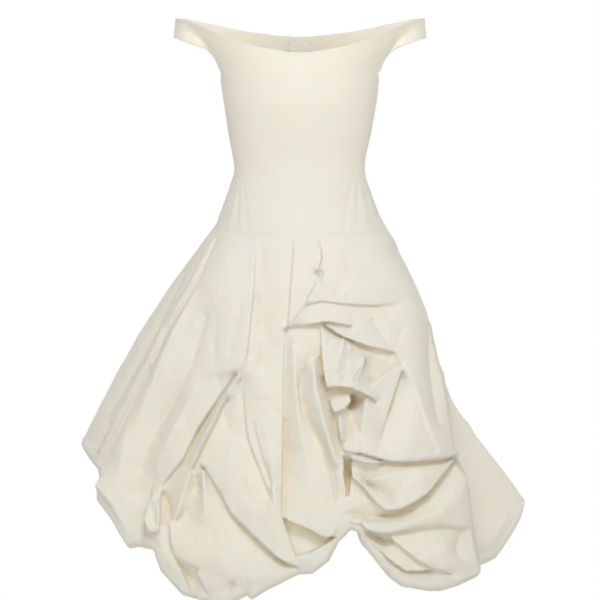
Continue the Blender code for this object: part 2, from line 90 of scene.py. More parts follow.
def smooth(value: np.ndarray, low: float, high: float) -> np.ndarray:
    """Rises from 0 to 1 between two values.

    Args:
        value: The values to judge.
        low: Where the rise starts.
        high: Where it ends.

    Returns:
        The eased share for each value.
    """
    share = np.clip((value - low) / (high - low), 0.0, 1.0)
    return share * share * (3.0 - 2.0 * share)


def column(table: tuple, key: np.ndarray, index: int) -> np.ndarray:
    """Reads one column of a table of millimetres.

    Args:
        table: Rows whose first number is the key.
        key: Where to read.
        index: Which column.

    Returns:
        The values in metres.
    """
    rows = np.array(table, dtype=float)
    return np.interp(key, rows[:, 0], rows[:, index]) * MM


def unit(vectors: np.ndarray) -> np.ndarray:
    """Scales vectors to length one."""
    return vectors / np.maximum(np.linalg.norm(vectors, axis=-1, keepdims=True), 1e-12)


@dataclass(frozen=True)
class BodiceSizes:
    """Sizes of the bodice block, the same as the solids' ones.

    Attributes:
        sections: Height, half width right, half width left, front depth, back depth, in mm.
        neckline: Share of the way to the strap end, front height, back height, in mm.
        strap_edge: Share of the way from armhole to strap end, half span, height, in mm.
        edge_depth: Share of the same way, distance from the side line in mm.
        princess: Height in mm and degrees round from the centre line.
    """

    underarm_z: float = 0.196
    armhole_dip: float = 0.014
    strap_half_span: float = 0.250
    front_depth: float = 0.112
    back_depth: float = 0.100
    princess_top: float = 78.0
    wall: float = 0.0013
    seam_gap: float = 0.00006
    sections: tuple = (
        (-140, 184, 186, 124, 134),
        (-108, 168, 170, 119, 127),
        (-92, 163, 161, 113, 120),
        (-56, 149, 147, 101, 104),
        (-14, 135, 132, 93, 92),
        (-5, 133, 130.6, 91.8, 90.8),
        (4, 132, 130, 91, 90),
        (15, 132.8, 130.6, 92, 90.8),
        (28, 135, 132, 94, 92),
        (80, 145, 144, 110, 98),
        (130, 152, 153, 122, 103),
        (196, 162, 160, 117, 104),
    )
    neckline: tuple = (
        (0.00, 234, 270),
        (0.09, 235, 271),
        (0.20, 240, 273),
        (0.32, 245, 277),
        (0.42, 251, 280),
        (0.58, 264, 287),
        (0.70, 278, 294),
        (0.80, 289, 298),
        (0.90, 298, 304),
        (1.00, 305, 305),
    )
    strap_edge: tuple = (
        (0.00, 159, 196),
        (0.16, 166, 212),
        (0.34, 176, 232),
        (0.50, 189, 244),
        (0.75, 216, 254),
        (1.00, 254, 266),
    )
    edge_depth: tuple = (
        (0.00, 0), (0.08, 22.8), (0.16, 23.2), (0.25, 25.4), (0.34, 29), (0.42, 33.2), (0.50, 37.5),
        (0.60, 42), (0.70, 44), (0.80, 41), (0.88, 32.5), (0.94, 21), (0.98, 10), (1.00, 0),
    )
    princess: tuple = (
        (-140, 28.5),
        (-94, 32.5),
        (-68, 37.0),
        (-44, 43.5),
        (-4, 52.0),
        (40, 56.0),
        (110, 59.0),
        (160, 63.0),
        (196, 78.0),
    )


@dataclass(frozen=True)
class SkirtSizes:
    """Sizes of the skirt: rib tables hold degrees at the hip, then across, height and depth at the hem, in mm."""

    wall: float = 0.0013
    seam_gap: float = 0.00006
    hem_roll: float = 0.013
    hem_return: float = 0.020
    tail_inset: float = 0.058
    bulge: float = 0.030
    front_ribs: tuple = (
        (-90, -442, -553, 0),
        (-84, -428, -576, -30),
        (-78, -407, -600, -60),
        (-73, -392, -648, -85),
        (-69, -401, -667, -95),
        (-64, -378, -698, -115),
        (-59, -346, -753, -140),
        (-55, -330, -749, -150),
        (-47, -296, -756, -172),
        (-43, -280, -798, -182),
        (-38, -238, -845, -200),
        (-30, -180, -862, -220),
        (-24, -148, -866, -230),
        (-19, -108, -846, -236),
        (-16, -98, -854, -238),
        (-11, -70, -836, -243),
        (-3, -5, -804, -250),
        (2, 24, -802, -250),
        (7, 56, -777, -250),
        (12, 76, -740, -246),
        (20, 102, -715, -242),
        (26, 122, -720, -238),
        (31, 132, -746, -236),
        (37, 156, -775, -232),
        (42, 184, -810, -226),
        (48, 208, -828, -220),
        (56, 260, -837, -205),
        (64, 290, -836, -190),
        (72, 322, -827, -165),
        (80, 356, -812, -130),
        (90, 361, -802, -70),
    )
    back_ribs: tuple = (
        (68, 320, -760, -156),
        (80, 352, -780, -108),
        (90, 361, -796, -70),
        (97, 430, -762, -12),
        (103, 450, -712, 28),
        (110, 460, -670, 50),
        (122, 438, -652, 120),
        (140, 330, -640, 205),
        (160, 190, -632, 248),
        (180, 20, -626, 262),
        (200, -150, -622, 258),
        (222, -300, -606, 214),
        (246, -400, -580, 120),
        (270, -442, -553, 0),
    )
    right_bow: tuple = ((0.0, 0), (0.25, 14), (0.5, 20), (0.75, 13), (1.0, 0))
    drape_bow: tuple = (
        (0.0, 0), (0.14, 21), (0.29, 37), (0.43, 30), (0.52, 26), (0.65, 13), (0.74, 23), (0.85, 10), (1.0, 0)
    )
    tail_bow: tuple = (
        (0.0, 0), (0.35, -14), (0.5, -46), (0.64, -66), (0.71, -56), (0.78, -38), (0.86, -22), (1.0, -4)
    )


@dataclass(frozen=True)
class Crease:
    """A line of the draping in the front or back view.

    Attributes:
        left: Height of the cloth on the left of the line, walking along it, in mm.
        right: Height on its right, in mm.
        start: Share of the height at the first point.
        end: Share of the height at the last point.
        path: Points across and up, in mm.
    """

    left: float
    right: float
    start: float
    end: float
    path: tuple


FRONT_CREASES = (
    # Right side panel: long pleats from the hip to the side point
    Crease(-5, 9, 0.3, 0.9, (
        (-168, -136), (-208, -226), (-266, -320), (-301, -395), (-325, -436), (-355, -499), (-391, -565), (-406, -598),
    )),
    Crease(13, 13, 0.3, 0.4, ((-162, -150), (-198, -236), (-240, -320), (-272, -384), (-304, -456), (-330, -524))),
    Crease(-3, -3, 0.3, 0.8, ((-232, -210), (-286, -316), (-346, -424), (-382, -486))),
    Crease(-8, -8, 0.1, 0.5, ((-186, -290), (-218, -391), (-246, -446), (-290, -520), (-311, -574), (-337, -645))),
    Crease(9, 9, 0.2, 0.6, ((-104, -130), (-112, -220), (-124, -300), (-140, -366))),
    Crease(-4, -4, 0.4, 1.0, ((-380, -509), (-404, -548), (-424, -566))),
    Crease(2, -2, 0.6, 0.6, ((-422, -567), (-410, -571), (-400, -572))),
    # Panel seam and its tack
    Crease(0, 10, 0.4, 1.4, ((-88, -128), (-92, -222), (-98, -292), (-108, -382))),
    Crease(-9, -9, 0.1, 1.0, ((-74, -150), (-76, -240), (-72, -330), (-80, -388))),
    Crease(18, 18, 1.0, 1.0, ((-114, -384), (-110, -390))),
    Crease(12, 12, 1.2, 0.1, ((-118, -392), (-150, -402), (-198, -420))),
    Crease(11, 11, 1.2, 0.1, ((-106, -386), (-82, -421), (-61, -452), (-48, -482))),
    # Folds that fall from the tack
    Crease(-14, 7, 0.4, 0.6, ((-129, -408), (-170, -468), (-204, -519), (-224, -560), (-232, -576), (-274, -627))),
    Crease(14, 14, 1.0, 0.5, ((-126, -414), (-158, -470), (-196, -546), (-226, -622), (-248, -698))),
    Crease(0, 0, 1.0, 1.0, ((-143, -458), (-170, -516), (-200, -572), (-216, -600))),
    Crease(-13, -13, 0.8, 0.7, ((-275, -644), (-262, -668), (-262, -690), (-274, -709))),
    Crease(-9, -9, 0.3, 1.0, ((-296, -620), (-303, -660), (-311, -690), (-318, -752))),
    Crease(10, 10, 0.4, 0.4, ((-205, -430), (-262, -540), (-288, -600))),
    Crease(-6, 14, 0.6, 1.0, ((-279, -642), (-280, -680), (-281, -714))),
    Crease(14, 1, 0.6, 1.0, (
        (-290, -645), (-300, -674), (-305, -699), (-304, -716), (-300, -727), (-292, -732), (-285, -729), (-281, -718),
    )),
    Crease(5, 5, 1.2, 1.2, ((-292, -668), (-290, -692), (-288, -712))),
    Crease(12, 12, 0.3, 0.5, ((-340, -500), (-352, -600), (-346, -690))),
    # The second tack and the deep fold below it
    Crease(16, 16, 1.0, 1.0, ((-195, -588), (-192, -592))),
    Crease(9, -14, 0.5, 1.2, ((-193, -592), (-159, -641), (-136, -684), (-102, -718), (-58, -759), (-24, -793), (-6, -802))),
    Crease(13, 13, 1.0, 0.5, ((-193, -598), (-190, -650), (-188, -712))),
    Crease(-5, -5, 0.6, 1.0, ((-197, -630), (-217, -671), (-244, -698))),
    Crease(-3, -3, 0.6, 1.0, ((-204, -610), (-214, -640))),
    Crease(12, -6, 0.5, 0.4, ((-260, -704), (-258, -740), (-250, -772))),
    Crease(-12, 6, 0.6, 1.0, ((-251, -772), (-238, -806), (-217, -857))),
    Crease(-15, -15, 0.7, 0.8, ((-236, -790), (-222, -818), (-208, -846))),
    Crease(7, -9, 0.4, 0.8, ((-244, -776), (-224, -783), (-202, -795), (-204, -812), (-185, -857))),
    Crease(-5, -5, 0.4, 1.0, ((-132, -824), (-140, -852))),
    Crease(12, 12, 0.4, 0.4, ((-176, -730), (-150, -800), (-120, -842))),
    # Narrow flap right of the tack
    Crease(7, -5, 0.3, 0.6, ((-117, -418), (-110, -475), (-105, -529), (-88, -577), (-58, -651))),
    Crease(10, 3, 0.6, 0.5, ((-92, -502), (-75, -570), (-55, -627))),
    Crease(13, 13, 0.4, 0.4, ((-84, -470), (-60, -560), (-52, -660), (-60, -730))),
    # Long vertical fold and the pocket under it
    Crease(-8, 4, 0.4, 1.0, ((-32, -322), (-32, -400), (-34, -495))),
    Crease(-15, 7, 1.0, 0.7, ((-34, -495), (-35, -590), (-36, -690))),
    Crease(10, 10, 0.6, 0.6, ((-14, -345), (-8, -439), (4, -536), (22, -609), (46, -682))),
    Crease(15, -20, 0.6, 0.9, ((-34, -693), (20, -715), (70, -743))),
    Crease(-16, 9, 1.0, 0.8, ((-34, -696), (-20, -740), (-8, -776))),
    Crease(-12, 6, 0.8, 0.8, ((-6, -776), (20, -766), (68, -746))),
    Crease(-10, 4, 0.5, 1.0, ((3, -400), (-3, -439), (5, -488), (42, -546), (58, -599), (70, -657))),
    # Centre strip and the left edge of the drape
    Crease(8, -7, 0.3, 0.8, ((-12, -142), (-17, -217), (-24, -309))),
    Crease(-6, 7, 0.5, 1.0, ((32, -139), (41, -156), (43, -178), (36, -200))),
    Crease(-11, -11, 1.0, 1.0, ((34, -202), (45, -208), (40, -217))),
    Crease(14, -3, 0.8, 1.2, ((38, -218), (22, -244), (9, -270), (-8, -295), (-31, -317))),
    # Upper laps of the drape
    Crease(11, -2, 0.6, 0.6, ((12, -270), (42, -262), (90, -268), (143, -271), (187, -270))),
    Crease(5, 5, 0.5, 0.5, ((54, -268), (100, -286), (134, -295), (168, -288), (187, -275))),
    Crease(16, -9, 0.1, 0.7, ((-31, -317), (6, -310), (25, -307), (47, -303), (71, -305), (100, -311))),
    Crease(17, -16, 0.7, 0.6, ((47, -309), (64, -319), (86, -334), (100, -338), (134, -350), (168, -359), (189, -365))),
    Crease(7, 2, 0.5, 1.2, ((146, -299), (168, -333), (189, -365), (202, -391))),
    Crease(9, 9, 0.2, 0.2, ((90, -140), (104, -200), (98, -252))),
    Crease(-3, -3, 0.3, 0.8, ((76, -138), (84, -196), (70, -252))),
    # Long ridge down the wearer's left
    Crease(14, 10, 0.7, 1.0, ((202, -391), (217, -418), (229, -459), (242, -510), (256, -545), (264, -560), (258, -574))),
    Crease(-12, 6, 0.8, 0.2, ((204, -404), (192, -437), (178, -478), (168, -510), (158, -540))),
    Crease(7, -8, 0.6, 0.9, ((198, -389), (175, -401), (156, -416), (139, -424))),
    Crease(-10, -10, 0.5, 0.6, ((129, -370), (128, -389), (141, -401), (158, -406), (172, -402))),
    Crease(-3, -3, 1.0, 1.0, ((150, -380), (164, -380))),
    Crease(5, 5, 0.2, 0.2, ((290, -300), (284, -400), (292, -500))),
    Crease(-3, -3, 0.2, 0.5, ((258, -300), (262, -400), (276, -500))),
    # Folded cone of the rosette and the hole beneath it
    Crease(24, -8, 0.5, 1.2, ((42, -314), (43, -350), (47, -399), (55, -430))),
    Crease(22, 22, 0.8, 1.1, ((86, -336), (81, -362), (72, -401))),
    Crease(13, 13, 0.8, 1.2, ((100, -352), (92, -392), (86, -420))),
    Crease(24, 8, 0.6, 1.0, ((129, -372), (118, -396), (107, -418))),
    Crease(30, -14, 1.0, 0.5, ((55, -431), (71, -430), (98, -431), (120, -440), (141, -452), (150, -459))),
    Crease(-34, -34, 1.0, 0.8, ((102, -452), (108, -462), (98, -474))),
    Crease(13, -12, 0.8, 1.0, ((52, -442), (56, -459), (68, -482), (88, -475), (97, -462), (96, -447))),
    # Rolls that stand below the rosette
    Crease(12, -7, 1.0, 1.0, ((40, -366), (18, -374), (8, -391))),
    Crease(14, 14, 1.0, 0.5, ((26, -384), (31, -440), (46, -498), (58, -540), (72, -585))),
    Crease(-12, -12, 0.7, 0.7, ((46, -414), (62, -474), (74, -524), (84, -560))),
    Crease(-10, -10, 1.0, 0.5, ((99, -478), (97, -512), (92, -548))),
    Crease(12, 12, 0.5, 0.5, ((80, -494), (82, -540))),
    Crease(12, 12, 0.4, 0.5, ((134, -450), (126, -500), (118, -548))),
    # First lap of the lobe, its wedges and its hole
    Crease(17, -13, 0.5, 0.9, ((88, -559), (124, -565), (150, -573), (183, -581), (214, -582), (255, -579), (286, -577), (309, -573))),
    Crease(-16, 18, 0.6, 0.9, ((309, -577), (286, -604), (265, -629), (250, -647), (224, -663), (198, -675), (170, -676))),
    Crease(-12, 12, 0.9, 0.7, ((168, -675), (147, -657), (129, -634), (106, -612))),
    Crease(-15, -15, 0.7, 0.7, ((222, -676), (190, -686), (160, -690), (102, -694))),
    Crease(-5, -5, 0.6, 1.0, ((98, -675), (132, -665), (140, -658))),
    Crease(-30, -30, 0.8, 0.8, ((94, -588), (98, -612), (93, -638))),
    Crease(4, -24, 1.0, 1.0, ((103, -580), (105, -612), (96, -646))),
    Crease(-24, 8, 1.0, 1.0, ((86, -576), (84, -608), (92, -646))),
    Crease(8, 8, 1.0, 0.5, ((104, -572), (136, -580), (166, -582))),
    Crease(-9, -9, 0.7, 0.9, ((104, -578), (120, -588), (138, -594), (154, -590), (172, -583))),
    Crease(-9, -9, 0.6, 1.0, ((168, -586), (150, -600), (129, -618))),
    Crease(9, 9, 1.0, 0.5, ((133, -620), (165, -612), (210, -600), (262, -592))),
    Crease(-7, -7, 1.0, 0.8, ((131, -622), (157, -640), (183, -662))),
    Crease(-5, -5, 1.0, 0.8, ((108, -620), (118, -636), (130, -652))),
    Crease(17, 17, 0.5, 0.5, ((200, -630), (232, -622), (266, -602))),
    # Lower laps of the lobe
    Crease(15, 15, 0.3, 0.6, ((330, -610), (312, -652), (270, -688), (210, -704), (130, -706))),
    Crease(15, -5, 0.9, 0.6, ((102, -714), (137, -722), (180, -723), (234, -712), (280, -707), (304, -712), (330, -714))),
    Crease(-20, -20, 0.9, 0.7, ((132, -734), (160, -740), (186, -738))),
    Crease(12, -8, 0.6, 0.8, ((176, -724), (193, -744), (214, -762), (239, -783), (262, -798), (304, -815))),
    Crease(5, -20, 0.5, 0.9, ((134, -750), (175, -783), (214, -809), (240, -806), (265, -801))),
    Crease(14, 14, 0.4, 0.4, ((230, -740), (280, -760), (322, -790))),
    Crease(-6, -6, 0.4, 0.3, ((320, -728), (318, -756), (324, -786))),
    # Edges of the cloth, where it meets the seams and the silhouette
    Crease(0, 0, 1.0, 1.0, ((-180, -106), (-150, -114), (-90, -126), (0, -131), (90, -126), (150, -114), (176, -108), (186, -130), (196, -170))),
    Crease(0, 0, 1.0, 1.0, ((-190, -140), (-250, -219), (-325, -330), (-386, -442), (-446, -556))),
    Crease(2, 2, 1.0, 1.0, ((200, -170), (250, -260), (275, -340), (296, -468), (308, -560), (334, -619), (344, -700), (361, -802))),
)

BACK_CREASES = (
    Crease(0, 0, 1.0, 1.0, ((-190, -110), (0, -112), (190, -110))),
    Crease(12, 12, 0.1, 1.0, ((60, -150), (84, -300), (120, -470), (150, -620))),
    Crease(-12, -12, 0.1, 1.0, ((110, -170), (160, -330), (220, -500), (250, -640))),
    Crease(12, 12, 0.1, 1.0, ((138, -190), (214, -360), (300, -540), (330, -640))),
    Crease(-8, 6, 0.1, 1.0, ((20, -150), (30, -320), (46, -480), (60, -620))),
    Crease(-12, -12, 0.1, 1.0, ((-60, -150), (-96, -320), (-140, -500), (-170, -630))),
    Crease(12, 12, 0.1, 1.0, ((-30, -150), (-46, -320), (-70, -490), (-84, -620))),
    Crease(13, 13, 0.1, 1.0, ((-104, -160), (-160, -320), (-226, -470), (-262, -600))),
    Crease(-12, -12, 0.1, 1.0, ((-134, -180), (-206, -320), (-290, -450), (-340, -590))),
    Crease(10, 10, 0.1, 1.0, ((-160, -190), (-250, -330), (-336, -450), (-400, -560))),
    Crease(0, 0, 1.0, 1.0, ((-190, -140), (-325, -330), (-446, -556))),
    Crease(0, 0, 1.0, 1.0, ((200, -160), (290, -400), (380, -560), (452, -680))),
)


@dataclass
class Relief:
    """Height of the draped cloth over its plain form, stretched like a skin between the creases.

    Attributes:
        creases: The lines that hold the skin.
        swell: How strongly the cloth puffs out between them, per mm.
        reach: How far a line is felt, in mm.
        low: Lowest corner of the field, across and up, in mm.
        high: Highest corner.
        cell: Finest spacing, in mm.
        gain: Scales every height.
        lap: Scales the step at a line whose two sides differ.
        overhang: How far a lap reaches over the cloth below it, as a share of its height over its surroundings.
        furthest: Furthest that a lap reaches, in mm.
        heights: The solved heights, in mm.
        shifts: How far the cloth moves across and up, in mm.
        fold_shade_masks: How deep the cloth lies in a fold, from 0 to 1; the mask for the warm shade painted into the
            folds.
    """

    creases: tuple
    swell: float = 0.0065
    reach: float = 95.0
    low: tuple = (-470.0, -900.0)
    high: tuple = (480.0, -90.0)
    cell: float = 2.0
    gain: float = 1.7
    lap: float = 0.6
    overhang: float = 0.7
    furthest: float = 7.0
    heights: np.ndarray = field(default_factory=lambda: np.zeros((2, 2)))
    shifts: np.ndarray = field(default_factory=lambda: np.zeros((2, 2, 2)))
    fold_shade_masks: np.ndarray = field(default_factory=lambda: np.zeros((2, 2)))

    def __post_init__(self) -> None:
        """Solves the field from coarse to fine."""
        size = self.cell * 8.0
        heights = None
        while size >= self.cell:
            heights = self.solve(size, heights)
            size /= 2.0
        self.heights = heights
        near = self.blurred(heights, 56)
        rise, across = np.gradient(near, self.cell)
        slope = np.sqrt(rise**2 + across**2) + 0.18
        reach = np.clip(heights - near, 0.0, None) * self.overhang
        reach = self.furthest * np.tanh(reach / self.furthest)
        self.shifts = np.stack([-across / slope * reach, -rise / slope * reach])
        # Mask for painted shade: how deep each place lies in the folds, where the material mixes a warm, darker tone
        # into the cloth's colour.
        self.fold_shade_masks = np.clip((self.blurred(heights, 120) - heights - 2.0) / 16.0, 0.0, 1.0)

    @staticmethod
    def blurred(grid: np.ndarray, passes: int) -> np.ndarray:
        """Spreads a grid evenly.

        Args:
            grid: The values.
            passes: How often it is spread.

        Returns:
            The blurred values.
        """
        for _ in range(passes):
            padded = np.pad(grid, 1, mode="edge")
            near = padded[:-2, 1:-1] + padded[2:, 1:-1] + padded[1:-1, :-2] + padded[1:-1, 2:]
            grid = grid * 0.5 + near * 0.125
        return grid

    def samples(self, size: float) -> tuple[np.ndarray, np.ndarray]:
        """Points along every crease with the height that holds there.

        Args:
            size: Spacing of the grid, in mm.

        Returns:
            Points in mm and their heights in mm.
        """
        places, values = [], []
        for crease in self.creases:
            path = np.array(crease.path, dtype=float)
            steps = np.hypot(*np.diff(path, axis=0).T)
            way = np.concatenate([[0.0], np.cumsum(steps)])
            count = max(3, int(way[-1] / (size * 0.5)))
            run = np.linspace(0.0, way[-1], count)
            x, z = np.interp(run, way, path[:, 0]), np.interp(run, way, path[:, 1])
            kernel = 6.0
            x, z = self.rounded(run, x, kernel), self.rounded(run, z, kernel)
            along = unit(np.stack([np.gradient(x), np.gradient(z)], axis=-1))
            share = run / way[-1]
            factor = np.where(share < 0.5, crease.start + (1.0 - crease.start) * share * 2.0,
                              1.0 + (crease.end - 1.0) * (share * 2.0 - 1.0))
            if crease.left == crease.right:
                places.append(np.stack([x, z], axis=-1))
                values.append(crease.left * factor)
                continue
            offset = max(1.6, size * 0.6)
            middle = (crease.left + crease.right) / 2.0
            step = (crease.left - crease.right) / 2.0 * self.lap
            for sign, height in ((1.0, middle + step), (-1.0, middle - step)):
                places.append(np.stack([x - along[:, 1] * offset * sign, z + along[:, 0] * offset * sign], axis=-1))
                values.append(height * factor)
        return np.vstack(places), np.concatenate(values)

    @staticmethod
    def rounded(run: np.ndarray, line: np.ndarray, reach: float) -> np.ndarray:
        """Rounds the corners of a line, keeping its ends.

        Args:
            run: Distance along the line.
            line: One coordinate of the line.
            reach: How far the rounding reaches, in mm.

        Returns:
            The rounded coordinate.
        """
        step = run[1] - run[0]
        passes = int(min(12, max(1, reach / step)))
        result = line.copy()
        for _ in range(passes):
            result[1:-1] = (result[:-2] + 2.0 * result[1:-1] + result[2:]) / 4.0
        return result

    def solve(self, size: float, coarse: np.ndarray | None) -> np.ndarray:
        """One level of the field.

        Args:
            size: Spacing of this level, in mm.
            coarse: The level before, or None.

        Returns:
            Heights in mm.
        """
        columns = int((self.high[0] - self.low[0]) / size) + 2
        rows = int((self.high[1] - self.low[1]) / size) + 2
        total = np.zeros((rows, columns))
        count = np.zeros((rows, columns))
        places, values = self.samples(size)
        col = np.clip(np.rint((places[:, 0] - self.low[0]) / size).astype(int), 0, columns - 1)
        row = np.clip(np.rint((places[:, 1] - self.low[1]) / size).astype(int), 0, rows - 1)
        np.add.at(total, (row, col), values)
        np.add.at(count, (row, col), 1.0)
        held = count > 0
        target = total / np.maximum(count, 1.0)
        if coarse is None:
            field_now = np.zeros((rows, columns))
        else:
            r = np.clip(np.arange(rows) * (coarse.shape[0] - 1) / (rows - 1), 0, coarse.shape[0] - 1)
            c = np.clip(np.arange(columns) * (coarse.shape[1] - 1) / (columns - 1), 0, coarse.shape[1] - 1)
            field_now = bilinear(coarse, r[:, None] + 0.0 * c[None, :], c[None, :] + 0.0 * r[:, None])
        source = self.swell * size * size
        spring = (size / self.reach) ** 2
        rounds = 500 if coarse is None else 260
        for _ in range(rounds):
            field_now[held] = target[held]
            padded = np.pad(field_now, 1, mode="edge")
            field_now = (padded[:-2, 1:-1] + padded[2:, 1:-1] + padded[1:-1, :-2] + padded[1:-1, 2:] + source) / (
                4.0 + spring
            )
        field_now[held] = target[held]
        return self.blurred(field_now, 1) if size <= self.cell else field_now

    def spot(self, x: np.ndarray, z: np.ndarray) -> tuple[np.ndarray, np.ndarray]:
        """Row and column of a place on the field."""
        col = np.clip((x / MM - self.low[0]) / self.cell, 0, self.heights.shape[1] - 1.001)
        row = np.clip((z / MM - self.low[1]) / self.cell, 0, self.heights.shape[0] - 1.001)
        return row, col

    def shift(self, x: np.ndarray, z: np.ndarray) -> np.ndarray:
        """How far a lap carries the cloth over what lies below it, as vectors in metres."""
        row, col = self.spot(x, z)
        across = bilinear(self.shifts[0], row, col) * MM
        return np.stack([across, 0.0 * across, bilinear(self.shifts[1], row, col) * MM], axis=-1)

    def fold_shade_mask(self, x: np.ndarray, z: np.ndarray) -> np.ndarray:
        """How deep a place lies in a fold, from 0 to 1: the mask for painted warm shade."""
        return bilinear(self.fold_shade_masks, *self.spot(x, z))

    def at(self, x: np.ndarray, z: np.ndarray) -> np.ndarray:
        """Height over the plain form.

        Args:
            x: Across, in metres.
            z: Up, in metres.

        Returns:
            Heights in metres.
        """
        return bilinear(self.heights, *self.spot(x, z)) * MM * self.gain


def bilinear(grid: np.ndarray, row: np.ndarray, col: np.ndarray) -> np.ndarray:
    """Reads a grid between its points.

    Args:
        grid: The values.
        row: Row positions.
        col: Column positions.

    Returns:
        The blended values.
    """
    r = np.clip(np.floor(row).astype(int), 0, grid.shape[0] - 2)
    c = np.clip(np.floor(col).astype(int), 0, grid.shape[1] - 2)
    v, u = row - r, col - c
    top = grid[r, c] * (1 - u) + grid[r, c + 1] * u
    low = grid[r + 1, c] * (1 - u) + grid[r + 1, c + 1] * u
    return top * (1 - v) + low * v


def crumple(x: np.ndarray, z: np.ndarray, scale: float, seed: int) -> np.ndarray:
    """Sharp-creased paper crumple between -1 and 0.

    Args:
        x: Across, in metres.
        z: Up, in metres.
        scale: Size of one facet, in metres.
        seed: Fixes the pattern.

    Returns:
        Height of the crumple, 0 away from creases.
    """
    random = np.random.default_rng(seed)
    grid = random.uniform(-1.0, 1.0, (96, 96))
    u = (x + 0.6) / scale
    v = (z + 1.2) / scale
    u0, v0 = np.floor(u), np.floor(v)
    fu, fv = u - u0, v - v0
    fu, fv = fu * fu * (3 - 2 * fu), fv * fv * (3 - 2 * fv)
    i, j = u0.astype(int) % 95, v0.astype(int) % 95
    value = (grid[j, i] * (1 - fu) + grid[j, i + 1] * fu) * (1 - fv) + (
        grid[j + 1, i] * (1 - fu) + grid[j + 1, i + 1] * fu
    ) * fv
    return np.abs(value) - 0.5


